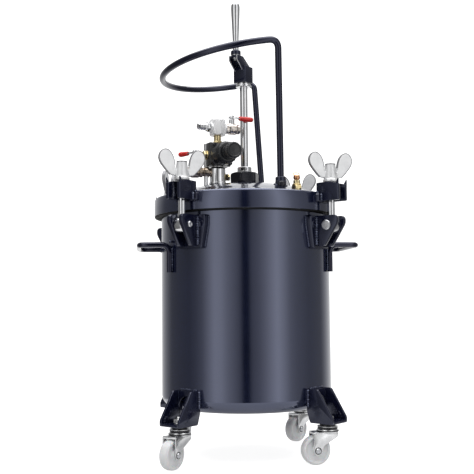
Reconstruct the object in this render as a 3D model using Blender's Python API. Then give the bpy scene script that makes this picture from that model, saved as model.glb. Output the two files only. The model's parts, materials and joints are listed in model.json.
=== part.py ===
"""Resin pressure pot: a lidded steel tank on casters, with four swing-bolt
clamps, a hand-cranked agitator, an air regulator set and a carrying loop.

Millimetres are used in the constants and converted to metres when a mesh is
made. Origin: floor level, centre of the tank. Front is -Y, up is +Z.
"""
import math

import bmesh
import bpy
from mathutils import Matrix, Vector

MM = 0.001

# ---- driving dimensions, mm -------------------------------------------------
GAP = 0.3
SIDES = 48
TANK_R = 140.0
TANK_WALL = 4.0
TANK_Z0 = 79.0
TANK_KNUCKLE = 20.0
RIM_R = 143.5
RIM_Z0 = 384.0
RIM_Z1 = 397.7

LID_R = 152.0
LID_Z0 = 390.6
LID_SEAT = 402.0
LID_EDGE = 420.5
LID_TOP = 447.0
LID_SHOULDER_R = 141.0
BOSS_R = 27.0
DOME_R = 390.0

CLAMP_R = 166.0
CLAMP_GAP = 16.2
PIN_Z = 366.6
PIN_R = 5.0
BOLT_R = 5.75
BOLT_TOP = 460.5
EYE_R = 12.0
LUG_Z0 = 405.0
LUG_Z1 = 434.4
NUT_Z = 434.8

LEG_Z0 = 62.5
LEG_Z1 = 113.8
LEG_HALF = 20.5
LEG_R1 = 183.0
CASTER_R = 160.0
WHEEL_R = 22.5
WHEEL_W = 17.0
TRAIL = 20.0
AXLE_R = 3.2

SHAFT_R = 6.6
SHAFT_Z0 = 108.0
CRANK_Z = 613.0
GRIP_OFF = 22.0
GRIP_Z = 663.3

RING_R = 138.0
RING_TUBE = 5.4
RING_Z = 657.0
RING_X = 37.3
RING_DIP = 0.17
RING_BEND = 15.0
FOOT_X = 45.0
FOOT_Y = 97.0

MX, MY = -49.0, -34.0
PORT_Z = 461.5
PORT_L = 25.0
REG_ANG = -69.5

CORNERS = (("fl", 225.0), ("fr", 315.0), ("rl", 135.0), ("rr", 45.0))
WING_TURN = {"fl": 15.0, "fr": 12.0, "rl": 70.0, "rr": -25.0}
CASTER_TURN = {"fl": -130.0, "fr": 187.5, "rl": 60.0, "rr": -142.0}
CLAMP_TWIST = 2.2
LEG_TWIST = -1.9


# ---- scene and materials ----------------------------------------------------
def clear():
    for obj in list(bpy.data.objects):
        bpy.data.objects.remove(obj, do_unlink=True)
    for mesh in list(bpy.data.meshes):
        bpy.data.meshes.remove(mesh)


def material(name, colour, metallic, rough):
    mat = bpy.data.materials.new(name)
    mat.use_nodes = True
    bsdf = mat.node_tree.nodes["Principled BSDF"]
    bsdf.inputs["Base Color"].default_value = (*colour, 1.0)
    bsdf.inputs["Metallic"].default_value = metallic
    bsdf.inputs["Roughness"].default_value = rough
    return mat


# ---- mesh building ----------------------------------------------------------
def mesh_from(verts, faces):
    mesh = bpy.data.meshes.new("m")
    mesh.from_pydata([Vector(v) * MM for v in verts], [], faces)
    return tidy(mesh)


def tidy(mesh):
    bm = bmesh.new()
    bm.from_mesh(mesh)
    bmesh.ops.remove_doubles(bm, verts=bm.verts, dist=1e-7)
    bmesh.ops.recalc_face_normals(bm, faces=bm.faces)
    bm.to_mesh(mesh)
    bm.free()
    return mesh


def moved(mesh, matrix):
    mesh.transform(matrix)
    if matrix.determinant() < 0:
        mesh.flip_normals()
    return mesh


def shift(x, y, z):
    return Matrix.Translation(Vector((x, y, z)) * MM)


def turn(deg, axis):
    return Matrix.Rotation(math.radians(deg), 4, axis)


def lathe(profile, n=48, loop=False):
    """Revolve (r, z) points about Z. A loop profile makes a ring."""
    verts = []
    rows = []
    for r, z in profile:
        if r < 1e-6:
            rows.append([len(verts)] * n)
            verts.append((0.0, 0.0, z))
            continue
        row = []
        for i in range(n):
            a = 2 * math.pi * i / n
            row.append(len(verts))
            verts.append((r * math.cos(a), r * math.sin(a), z))
        rows.append(row)
    faces = []
    pairs = list(zip(rows[:-1], rows[1:]))
    if loop:
        pairs.append((rows[-1], rows[0]))
    for low, high in pairs:
        for i in range(n):
            j = (i + 1) % n
            face = []
            for v in (low[i], low[j], high[j], high[i]):
                if v not in face:
                    face.append(v)
            if len(face) > 2:
                faces.append(face)
    return mesh_from(verts, faces)


def cyl(r, z0, z1, n=24, chamfer=0.0):
    if chamfer:
        c = chamfer
        return lathe([(0, z0), (r - c, z0), (r, z0 + c), (r, z1 - c), (r - c, z1), (0, z1)], n)
    return lathe([(0, z0), (r, z0), (r, z1), (0, z1)], n)


def prism(points, t0, t1):
    """Extrude an (x, z) outline from y = t0 to y = t1."""
    n = len(points)
    verts = [(x, t0, z) for x, z in points] + [(x, t1, z) for x, z in points]
    faces = [list(range(n)), list(range(n, 2 * n))]
    for i in range(n):
        j = (i + 1) % n
        faces.append([i, j, n + j, n + i])
    return mesh_from(verts, faces)


def plate(points, z0, z1):
    """Extrude an (x, y) outline from z0 to z1."""
    n = len(points)
    verts = [(x, y, z0) for x, y in points] + [(x, y, z1) for x, y in points]
    faces = [list(range(n)), list(range(n, 2 * n))]
    for i in range(n):
        j = (i + 1) % n
        faces.append([i, j, n + j, n + i])
    return mesh_from(verts, faces)


def box(x0, x1, y0, y1, z0, z1):
    return plate([(x0, y0), (x1, y0), (x1, y1), (x0, y1)], z0, z1)


def ring_points(r, n, phase=0.0):
    out = []
    for i in range(n):
        a = 2 * math.pi * i / n + math.radians(phase)
        out.append((r * math.cos(a), r * math.sin(a)))
    return out


def fillet(points, radius, steps=6):
    """Round the inner corners of a 3D polyline."""
    pts = [Vector(p) for p in points]
    out = [pts[0]]
    for i in range(1, len(pts) - 1):
        a = (pts[i - 1] - pts[i]).normalized()
        b = (pts[i + 1] - pts[i]).normalized()
        half = a.angle(b) / 2
        reach = radius / math.tan(half)
        centre = pts[i] + (a + b).normalized() * (radius / math.sin(half))
        start = (pts[i] + a * reach - centre).normalized()
        end = (pts[i] + b * reach - centre).normalized()
        for k in range(steps + 1):
            out.append(centre + start.slerp(end, k / steps) * radius)
    out.append(pts[-1])
    return out


def sweep(path, r, n=12):
    """Round bar along a polyline, closed at both ends."""
    path = [Vector(p) for p in path]
    count = len(path)
    tangents = []
    for i in range(count):
        a = path[max(i - 1, 0)]
        b = path[min(i + 1, count - 1)]
        tangents.append((b - a).normalized())
    side = tangents[0].orthogonal().normalized()
    verts = []
    for i in range(count):
        if i:
            side = tangents[i - 1].rotation_difference(tangents[i]) @ side
        up = tangents[i].cross(side)
        for k in range(n):
            a = 2 * math.pi * k / n
            verts.append(path[i] + (side * math.cos(a) + up * math.sin(a)) * r)
    faces = [list(range(n)), list(range((count - 1) * n, count * n))]
    for i in range(count - 1):
        for k in range(n):
            j = (k + 1) % n
            faces.append([i * n + k, i * n + j, (i + 1) * n + j, (i + 1) * n + k])
    return mesh_from(verts, faces)


BOOLEANS = {"+": "UNION", "-": "DIFFERENCE", "&": "INTERSECT"}


def combine(base, *steps):
    """Boolean steps in order: '+' joins a mesh, '-' cuts it, '&' keeps what they share."""
    host = bpy.data.objects.new("host", base)
    bpy.context.scene.collection.objects.link(host)
    extras = []
    for sign, mesh in steps:
        tool = bpy.data.objects.new("tool", mesh)
        bpy.context.scene.collection.objects.link(tool)
        mod = host.modifiers.new("b", "BOOLEAN")
        mod.operation = BOOLEANS[sign]
        mod.solver = "EXACT"
        mod.object = tool
        extras.append(tool)
    bpy.context.view_layer.update()
    graph = bpy.context.evaluated_depsgraph_get()
    result = bpy.data.meshes.new_from_object(host.evaluated_get(graph))
    for obj in extras + [host]:
        bpy.data.objects.remove(obj, do_unlink=True)
    return result


class Kit:
    """Places finished meshes as named objects in one collection."""

    def __init__(self, name):
        self.coll = bpy.data.collections.new(name)
        bpy.context.scene.collection.children.link(self.coll)
        self.mats = {}

    def paint(self, key, colour, metallic, rough):
        self.mats[key] = material(key, colour, metallic, rough)

    def add(self, name, mesh, key, at=(0, 0, 0), rot=(0, 0, 0), parent=None):
        mesh.name = name
        mesh.materials.clear()
        mesh.materials.append(self.mats[key])
        obj = bpy.data.objects.new(name, mesh)
        obj.location = Vector(at) * MM
        obj.rotation_euler = [math.radians(a) for a in rot]
        self.coll.objects.link(obj)
        if parent:
            bpy.context.view_layer.update()
            obj.parent = parent
            obj.matrix_parent_inverse = parent.matrix_world.inverted()
        return obj


# ---- shared outlines --------------------------------------------------------
def dome_z(r, lift=0.0):
    top = LID_TOP + lift
    return top - (DOME_R - math.sqrt(DOME_R ** 2 - r ** 2))


def dome_cutter(lift=GAP):
    pts = [(0, 380.0), (LID_SHOULDER_R, 380.0)]
    for k in range(10, -1, -1):
        r = LID_SHOULDER_R * k / 10
        pts.append((r, dome_z(r, lift)))
    return lathe(pts, 64)


def polar(r, deg, z=0.0):
    a = math.radians(deg)
    return (r * math.cos(a), r * math.sin(a), z)


def arc_xz(cx, cz, r, a0, a1, n):
    out = []
    for k in range(n + 1):
        a = math.radians(a0 + (a1 - a0) * k / n)
        out.append((cx + r * math.cos(a), cz + r * math.sin(a)))
    return out


# ---- tank and lid -----------------------------------------------------------
def tank_shell():
    k = TANK_KNUCKLE
    w = TANK_WALL
    outer = [(0, TANK_Z0)]
    outer += arc_xz(TANK_R - k, TANK_Z0 + k, k, -90, 0, 4)
    outer += [(TANK_R, RIM_Z0), (RIM_R, RIM_Z0 + 2.5), (RIM_R, RIM_Z1)]
    inner = [(TANK_R - w, RIM_Z1)]
    inner += arc_xz(TANK_R - k, TANK_Z0 + k, k - w, 0, -90, 3)
    inner += [(0, TANK_Z0 + w)]
    return lathe(outer + inner, SIDES)


def lid():
    pts = [(SHAFT_R + 0.5, LID_TOP), (BOSS_R, LID_TOP)]
    for r in (52.0, 82.0, 112.0, LID_SHOULDER_R):
        pts.append((r, dome_z(r)))
    pts += [(LID_R - 2.2, LID_EDGE - 0.6), (LID_R, LID_EDGE - 4.0), (LID_R, LID_Z0)]
    pts += [(RIM_R + 1.5, LID_Z0), (RIM_R + 1.5, LID_SEAT), (129.0, LID_SEAT)]
    for r in (122.0, 85.0):
        pts.append((r, dome_z(r) - 6.0))
    pts += [(BOSS_R, LID_TOP - 9.0), (SHAFT_R + 0.5, LID_TOP - 9.0)]
    return lathe(pts, SIDES, loop=True)


def lid_gasket():
    z1 = LID_SEAT - GAP
    z0 = RIM_Z1 + GAP
    return lathe([(131.0, z0), (144.0, z0), (144.0, z1), (131.0, z1)], SIDES, loop=True)


# ---- clamps (local: +X outward from the tank, origin on the bolt line) ------
def wall_cut(radius, z0, z1):
    return moved(cyl(radius, z0, z1, 112), shift(-CLAMP_R, 0, 0))


def lid_lug():
    inner = LID_R - CLAMP_R - 4.0
    t = CLAMP_GAP / 2
    ear = [(inner, LUG_Z0), (17.0, LUG_Z0), (20.5, LUG_Z0 + 3), (21.5, LUG_Z0 + 8)]
    ear += [(21.5, LUG_Z1 + 3.8), (20.3, LUG_Z1 + 3.8), (17.0, LUG_Z1 - 2.4)]
    ear += [(11.5, LUG_Z1 - 1.2), (0.5, LUG_Z1), (inner, LUG_Z1)]
    body = prism(ear, -t - 6, t + 6)
    pad = prism([(inner, LUG_Z0 - 1.5), (-9.5, LUG_Z0 - 1.5), (-8.6, LUG_Z0 + 4)]
                + [(-9.5, LUG_Z1 - 18), (inner, LUG_Z1 - 18)], -t - 13, t + 13)
    slot = box(-7.0, 40, -t, t, LUG_Z0 - 10, LUG_Z1 + 20)
    horn = box(17.2, 40, -t - 4.2, t + 4.2, LUG_Z1 - 3.8, LUG_Z1 + 20)
    wall = wall_cut(LID_R + GAP, LUG_Z0 - 10, LUG_Z1 + 20)
    return combine(body, ("+", pad), ("-", slot), ("-", horn), ("-", wall))


def clamp_clevis():
    inner = TANK_R - CLAMP_R - 4.0
    t = CLAMP_GAP / 2
    ear = [(inner, 334.0), (-5.0, 334.0), (16.5, 367.0), (18.0, 371.5)]
    ear += arc_xz(12.0, 376.0, 6.0, 0, 90, 4)
    ear += [(inner, 382.0)]
    body = prism(ear, -t - 7, t + 7)
    pad = prism([(inner, 331.0), (-20.5, 331.0), (-18.5, 337.0), (-18.5, 378.0)]
                + [(-20.5, 383.0), (inner, 383.0)], -t - 21, t + 21)
    slot = box(-15.0, 40, -t, t, 320, 400)
    hole = moved(cyl(PIN_R + GAP, -40, 40, 16), shift(0, 0, PIN_Z) @ turn(90, "X"))
    wall = wall_cut(TANK_R + GAP, 320, 400)
    return combine(body, ("+", pad), ("-", slot), ("-", hole), ("-", wall))


def clevis_pin():
    half = CLAMP_GAP / 2 + 7
    pts = [(0, -half - 2.6), (4.2, -half - 2.6), (PIN_R, -half - 1.5)]
    pts += [(PIN_R, half + GAP), (8.0, half + GAP), (8.0, half + 3.4)]
    pts += [(0, half + 3.4)]
    return moved(lathe(pts, 12), turn(90, "X"))


def swing_bolt():
    z = BOLT_TOP - PIN_Z
    eye = moved(cyl(EYE_R, -7.5, 7.5, 18), turn(90, "X"))
    shank = lathe([(0, 4.0), (8.2, 4.0), (8.2, 10.0), (BOLT_R, 17.0), (BOLT_R, z)]
                  + [(0, z)], 14)
    hole = moved(cyl(PIN_R + 0.4, -20, 20, 12), turn(90, "X"))
    return combine(eye, ("+", shank), ("-", hole))


def wing_nut():
    pts = [(BOLT_R + 0.4, 0), (12.0, 0), (12.0, 3.4), (11.0, 5.0), (9.2, 20.0)]
    pts += [(7.8, 29.0), (BOLT_R + 0.4, 29.0)]
    hub = lathe(pts, 16, loop=True)
    wing = [(6.9, 7.0), (13.5, 7.2), (18.5, 8.2), (24.0, 13.6), (34.5, 26.5), (36.5, 33.0)]
    wing += [(35.5, 40.0), (31.5, 45.2), (26.0, 47.2), (20.5, 45.4), (15.4, 39.5), (12.2, 31.0)]
    wing += [(10.4, 22.5), (6.9, 21.0)]
    left = [(-x, z) for x, z in wing]
    return combine(hub, ("+", prism(wing, -2.6, 2.6)), ("+", prism(left, -2.6, 2.6)))


# ---- side handles, legs and casters ----------------------------------------
def side_handle():
    rod = 4.5
    x_wall = (TANK_R + GAP + rod) * math.cos(math.radians(26.0))
    y_wall = (TANK_R + GAP + rod) * math.sin(math.radians(26.0))
    x_out = 177.0
    path = [(x_wall, -y_wall, 296), (x_wall, -y_wall, 340), (x_out, -y_wall + 3, 340)]
    path += [(x_out, y_wall - 3, 340), (x_wall, y_wall, 340), (x_wall, y_wall, 296)]
    return sweep(fillet(path, 14.0, 4), rod, 10)


def leg_bracket():
    w = LEG_HALF
    x0 = TANK_R - 6.0
    side = [(x0, LEG_Z0), (LEG_R1, LEG_Z0), (LEG_R1, LEG_Z0 + 9), (156.0, LEG_Z1)]
    side += [(x0, LEG_Z1)]
    body = prism(side, -w, w)
    hollow = prism([(145.5, LEG_Z0 + 4), (210, LEG_Z0 + 4), (210, 140), (145.5, 140)],
                   -w + 4, w - 4)
    arch = moved(cyl(w - 4.0, 120, 150, 20), turn(90, "Y"))
    arch = combine(arch, ("+", box(120, 150, -w + 4, w - 4, -60, 0)))
    arch = moved(arch, shift(0, 0, 88))
    floor_plate = box(141.5, LEG_R1, -w, w, LEG_Z0, LEG_Z0 + 4)
    wall = cyl(TANK_R + GAP, 20, 200, 112)
    hole = moved(cyl(6.6, 40, 70, 16), shift(CASTER_R, 0, 0))
    return combine(body, ("-", hollow), ("-", arch), ("+", floor_plate), ("-", wall),
                   ("-", hole))


def caster_fork():
    """Origin on the swivel line at floor level, wheel toward +X."""
    race = lathe([(0, 46.4), (13.0, 46.4), (16.5, 50.5), (16.5, 54.5), (14.0, 55.5)]
                 + [(14.0, 56.5), (16.0, 57.5), (16.0, LEG_Z0 - GAP), (6.0, LEG_Z0 - GAP)]
                 + [(6.0, LEG_Z0 + 14), (0, LEG_Z0 + 14)], 16)
    nut = plate(ring_points(10.0, 6, 30), LEG_Z0 + 4 + GAP, LEG_Z0 + 11)
    half = WHEEL_W / 2 + 1.6
    front = TRAIL + 6.4
    cheek = [(-13.0, 50.0), (front, 50.0), (front, WHEEL_R + 4)]
    cheek += arc_xz(TRAIL, WHEEL_R, 6.5, 10, -170, 4)
    cheek += [(TRAIL - 8.0, WHEEL_R + 4), (-13.0, 43.0)]
    left = prism(cheek, -half - 2.4, -half)
    right = prism(cheek, half, half + 2.4)
    crown = box(-13.0, front, -half - 2.4, half + 2.4, 46.4, 50.0)
    axle = moved(cyl(AXLE_R, -half - 4.4, half + 4.4, 10),
                 shift(TRAIL, 0, WHEEL_R) @ turn(90, "X"))
    return combine(race, ("+", nut), ("+", crown), ("+", left), ("+", right), ("+", axle))


def caster_wheel():
    h = WHEEL_W / 2
    b = AXLE_R + 0.4
    half = [(b, h + 1.2), (7.5, h + 1.2), (8.8, h - 2.8), (16.5, h - 2.8)]
    half += [(18.0, h), (WHEEL_R, h - 3.0)]
    pts = half + [(r, -z) for r, z in reversed(half)]
    return moved(lathe(pts, 20, loop=True), turn(90, "X"))


# ---- carrying loop ----------------------------------------------------------
def ring_handle():
    """A bent bar: two legs joined by a horizontal arc that dips to one side."""
    start = math.acos(RING_X / RING_R)

    def arc_point(a):
        x = RING_R * math.cos(a)
        return Vector((x, -RING_R * math.sin(a), RING_Z + RING_DIP * (x - RING_X)))

    corner = arc_point(start)
    base = Vector((FOOT_X, -FOOT_Y, 441.0))
    below = corner + (base - corner).normalized() * RING_BEND
    after = arc_point(start + RING_BEND / RING_R)
    half = [base]
    for k in range(6):
        s = k / 5
        half.append(below * (1 - s) ** 2 + corner * 2 * s * (1 - s) + after * s ** 2)
    n = 20
    first = start + 1.6 * RING_BEND / RING_R
    arc = [arc_point(first + (2 * math.pi - 2 * first) * k / n) for k in range(n + 1)]
    mirror = [Vector((p.x, -p.y, p.z)) for p in reversed(half)]
    return sweep(half + arc + mirror, RING_TUBE, 8)


def handle_foot():
    """Origin on the leg line at lid level, built upright at local zero."""
    block = box(-8.0, 8.0, -7.0, 9.5, -12.0, 7.0)
    collar = cyl(8.5, -6.0, 13.0, 18, 0.8)
    bore = cyl(RING_TUBE + 1.0, 8.0, 30.0, 16)
    return combine(block, ("+", collar), ("-", bore))


# ---- agitator ---------------------------------------------------------------
def gland_nut():
    hexagon = plate(ring_points(24.4, 6, 8.0), LID_TOP + GAP, 466.4)
    taper = lathe([(22.0, 440), (26.5, 450), (26.5, 463.5)]
                  + [(22.2, 466.5), (22.2, 470), (3.0, 470), (3.0, 440)], 24, loop=True)
    return combine(hexagon, ("-", cyl(SHAFT_R + 0.4, 400, 500, 24)), ("&", taper))


def shaft_collar():
    z0 = 466.8
    pts = [(SHAFT_R + 0.1, z0), (11.4, z0), (12.4, z0 + 1), (12.4, z0 + 7.6)]
    pts += [(11.4, z0 + 8.6), (SHAFT_R + 0.1, z0 + 8.6)]
    screw = moved(cyl(1.9, 10.0, 20.0, 12), shift(0, 0, z0 + 4.4) @ turn(-85, "Z") @ turn(90, "Y"))
    return combine(lathe(pts, 24, loop=True), ("-", screw))


def agitator_shaft():
    pts = [(0, SHAFT_Z0), (SHAFT_R - 0.8, SHAFT_Z0), (SHAFT_R, SHAFT_Z0 + 0.8)]
    pts += [(SHAFT_R, CRANK_Z), (12.6, CRANK_Z), (13.2, CRANK_Z + 0.8)]
    pts += [(13.2, CRANK_Z + 5.8), (12.6, CRANK_Z + 6.6), (SHAFT_R, CRANK_Z + 6.6)]
    pts += [(SHAFT_R, CRANK_Z + 20.6), (0, CRANK_Z + 20.6)]
    return lathe(pts, 20)


def impeller():
    hub = lathe([(SHAFT_R + 0.1, 112), (13.0, 112), (13.0, 134), (SHAFT_R + 0.1, 134)], 18,
                loop=True)
    steps = []
    for k in range(3):
        blade = box(10.0, 62.0, -1.6, 1.6, -13.0, 13.0)
        blade = moved(blade, turn(35, "X"))
        blade = moved(blade, shift(0, 0, 123) @ turn(120 * k + 15, "Z"))
        steps.append(("+", blade))
    return combine(hub, *steps)


def crank_arm():
    """Built with the grip toward +X."""
    z0 = CRANK_Z + 6.9
    top = GRIP_Z - GAP
    block = box(-11.0, 13.0, -12.6, 12.6, z0, z0 + 28.0)
    arm = prism([(4.0, z0 + 20.0), (13.0, z0 + 20.0), (GRIP_OFF + 8, top - 8.0)]
                + [(GRIP_OFF + 8, top), (GRIP_OFF - 9, top), (-8.0, z0 + 28.0)], -9.0, 9.0)
    groove = prism([(11.0, z0 + 19.0), (GRIP_OFF + 4, top - 2.6), (GRIP_OFF + 20, top - 2.6)]
                   + [(GRIP_OFF + 20, z0 - 5.0), (14.5, z0 - 5.0)], -6.5, 6.5)
    stud = moved(cyl(3.0, top - 2.0, top + 27.0, 12), shift(GRIP_OFF, 0, 0))
    bore = cyl(SHAFT_R + 0.1, z0 - 5, CRANK_Z + 21.0, 20)
    return combine(block, ("+", arm), ("-", groove), ("-", bore), ("+", stud))


def crank_grip():
    z0 = GRIP_Z
    pts = [(3.4, z0), (7.4, z0), (8.3, z0 + 1.0), (8.3, z0 + 7.4), (7.2, z0 + 8.6)]
    pts += [(5.3, z0 + 9.6), (5.2, z0 + 26.0), (6.0, z0 + 46.0), (7.2, z0 + 70.0)]
    pts += [(7.6, z0 + 84.0), (6.9, z0 + 89.0), (5.0, z0 + 90.5), (0, z0 + 90.5)]
    pts += [(0, z0 + 30.0), (3.4, z0 + 30.0)]
    return lathe(pts, 16, loop=True)


# ---- air fittings -----------------------------------------------------------
def manifold():
    """Vertical column on the lid with a side port toward -X and a right plug."""
    column = lathe([(0, 430), (13.0, 430), (13.0, 467.0), (11.5, 469.0), (0, 469.0)], 18)
    port = lathe([(0, 0), (7.0, 0), (7.0, 14.0), (8.6, 14.8), (8.6, 22.0), (7.0, 22.8)]
                 + [(7.0, PORT_L), (0, PORT_L)], 16)
    port = moved(port, shift(0, 0, PORT_Z) @ turn(-90, "Y"))
    pipe = moved(cyl(3.6, 425, PORT_Z - 1.7, 10), shift(-19.3, -0.7, 0) @ turn(7, "Z"))
    plug = moved(plate(ring_points(6.0, 6, 30), 10.0, 20.0), shift(0, 0, 453.0) @ turn(90, "Y"))
    dome = moved(dome_cutter(), shift(-MX, -MY, 0))
    return combine(column, ("+", port), ("+", pipe), ("+", plug), ("-", dome))


def outlet_valve_body():
    """Ball valve continuing the side port, stem up, axis along local -X."""
    x0 = PORT_L + GAP
    pts = [(0, x0), (8.0, x0), (8.0, x0 + 5), (9.6, x0 + 7), (9.6, x0 + 18), (8.0, x0 + 20)]
    pts += [(8.0, x0 + 25), (6.0, x0 + 26), (0, x0 + 26)]
    body = moved(lathe(pts, 18), shift(0, 0, PORT_Z) @ turn(-90, "Y"))
    stem = moved(cyl(4.6, PORT_Z - 2, PORT_Z + 22, 14), shift(-x0 - 12.5, 0, 0))
    post = moved(cyl(2.4, PORT_Z + 16, PORT_Z + 34.2, 12), shift(-x0 - 12.5, 0, 0))
    bore = moved(cyl(3.6, x0 + 20, x0 + 40, 12), shift(0, 0, PORT_Z) @ turn(-90, "Y"))
    return combine(body, ("+", stem), ("+", post), ("-", bore))


def lever(reach=42.0):
    """Flat lever with a sleeve, hub at local origin, reaching toward +X."""
    pts = [(-5.0, -4.2), (5.0, -5.0), (18.0, -3.2), (18.0, 3.2), (5.0, 5.0), (-5.0, 4.2)]
    hub = plate(pts, 0.0, 2.2)
    sleeve = moved(lathe([(0, 14.0), (3.6, 14.0), (4.1, reach - 3)]
                         + [(3.2, reach), (0, reach)], 14),
                   shift(0, 0, 2.2) @ turn(90, "Y"))
    cap = lathe([(0, 1.6), (4.2, 1.6), (4.2, 4.4), (3.2, 5.2), (0, 5.2)], 14)
    bore = cyl(2.4 + 0.3, -1.0, 3.6, 12)
    return combine(hub, ("+", sleeve), ("+", cap), ("-", bore))


def regulator_body():
    """Local: knob toward +X, up +Z, origin on the manifold line."""
    z0 = 469.0 + GAP
    block = box(-13.0, 11.0, -19.5, 19.5, z0 + 1.0, 509.0)
    neck = cyl(9.0, z0, z0 + 6.0, 24)
    plug = moved(plate(ring_points(7.0, 6, 0), 17.0, 25.5), shift(-2, 0, 489.0) @ turn(90, "X"))
    flat = moved(plate(ring_points(7.0, 6, 0), 17.0, 21.5), shift(-2, 0, 489.0) @ turn(-90, "X"))
    return combine(block, ("+", neck), ("+", plug), ("+", flat))


def regulator_bonnet():
    x0 = 11.0 + GAP
    c = 5.0
    h = 18.5
    pts = [(-h, -h + c), (-h + c, -h), (h - c, -h), (h, -h + c), (h, h - c), (h - c, h)]
    pts += [(-h + c, h), (-h, h - c)]
    base = moved(plate(pts, x0, x0 + 24.0), shift(0, 0, 489.0) @ turn(90, "Y"))
    boss = lathe([(0, x0 + 22), (17.0, x0 + 22), (17.0, x0 + 27), (15.5, x0 + 29)]
                 + [(9.5, x0 + 29), (9.5, x0 + 34), (5.0, x0 + 34), (5.0, x0 + 46), (0, x0 + 46)], 24)
    boss = moved(boss, shift(0, 0, 489.0) @ turn(90, "Y"))
    return combine(base, ("+", boss))


def regulator_knob():
    x0 = 11.0 + GAP + 34.0 + GAP
    pts = [(5.3, x0), (11.5, x0), (12.8, x0 + 1.2), (13.4, x0 + 15.0), (12.2, x0 + 17.2)]
    pts += [(0, x0 + 17.2), (0, x0 + 13.0), (5.3, x0 + 13.0)]
    return moved(lathe(pts, 24, loop=True), turn(90, "Y"))


def air_tee():
    """Local +X along the run toward the valve, nipple below."""
    nip = lathe([(0, 509.0 + GAP), (7.4, 509.0 + GAP), (7.4, 513.0), (5.6, 514.0)]
                + [(5.6, 526.0), (0, 526.0)], 18)
    body = plate(ring_points(13.0, 8, 22.5), 522.4, 548.6)
    run = moved(plate(ring_points(8.4, 8, 22.5), -14.5, 14.5), shift(0, 0, 535.6) @ turn(90, "Y"))
    return combine(body, ("+", nip), ("+", run))


def hose_barb():
    x0 = 14.5 + GAP
    pts = [(0, x0), (8.0, x0), (8.0, x0 + 5.0), (6.2, x0 + 5.6), (4.6, x0 + 10.0)]
    pts += [(6.0, x0 + 10.2), (4.6, x0 + 15.0), (6.0, x0 + 15.2), (4.5, x0 + 21.0)]
    pts += [(2.6, x0 + 21.0), (2.6, x0 + 4.0), (0, x0 + 4.0)]
    return moved(lathe(pts, 16), shift(0, 0, 535.6) @ turn(-90, "Y"))


def inlet_valve_body():
    x0 = 14.5 + GAP
    pts = [(0, x0), (7.6, x0), (7.6, x0 + 5), (9.2, x0 + 7), (9.2, x0 + 17), (7.6, x0 + 19)]
    pts += [(7.6, x0 + 25), (6.4, x0 + 26), (0, x0 + 26)]
    body = moved(lathe(pts, 18), shift(0, 0, 535.6) @ turn(90, "Y"))
    stem = moved(cyl(4.6, 535.0, 551.6, 14), shift(x0 + 12, 0, 0))
    post = moved(cyl(2.4, 548.0, 557.0, 12), shift(x0 + 12, 0, 0))
    bore = moved(cyl(3.6, x0 + 18, x0 + 40, 12), shift(0, 0, 535.6) @ turn(90, "Y"))
    return combine(body, ("+", stem), ("+", post), ("-", bore))


def safety_valve():
    """Origin on the valve line; the base is trimmed to the lid."""
    pts = [(0, 415.0), (7.0, 415.0), (7.0, 434.0), (5.6, 435.0), (5.6, 440.6), (1.5, 440.6)]
    pts += [(1.5, 445.0), (0, 445.0)]
    nut = plate(ring_points(8.6, 6, 10), 426.0, 432.0)
    return combine(lathe(pts, 18), ("+", nut))


def torus(r, tube, n, m):
    verts = []
    faces = []
    for k in range(n):
        a = 2 * math.pi * k / n
        for i in range(m):
            b = 2 * math.pi * i / m
            reach = r + tube * math.cos(b)
            verts.append((reach * math.cos(a), tube * math.sin(b), reach * math.sin(a)))
            p1 = (k + 1) % n
            i1 = (i + 1) % m
            faces.append([k * m + i, k * m + i1, p1 * m + i1, p1 * m + i])
    return mesh_from(verts, faces)


def safety_valve_ring():
    """Ball cap with a leaning pull ring, sliding on the valve stem."""
    ball = lathe([(1.9, 441.0), (4.4, 441.4), (5.6, 444.4), (4.8, 447.4), (2.6, 449.0)]
                 + [(0, 449.4), (0, 445.4), (1.9, 445.4)], 14, loop=True)
    loop = moved(torus(5.0, 1.1, 16, 6), shift(0, 2.8, 450.6) @ turn(-55, "X"))
    return combine(ball, ("+", loop))


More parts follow.
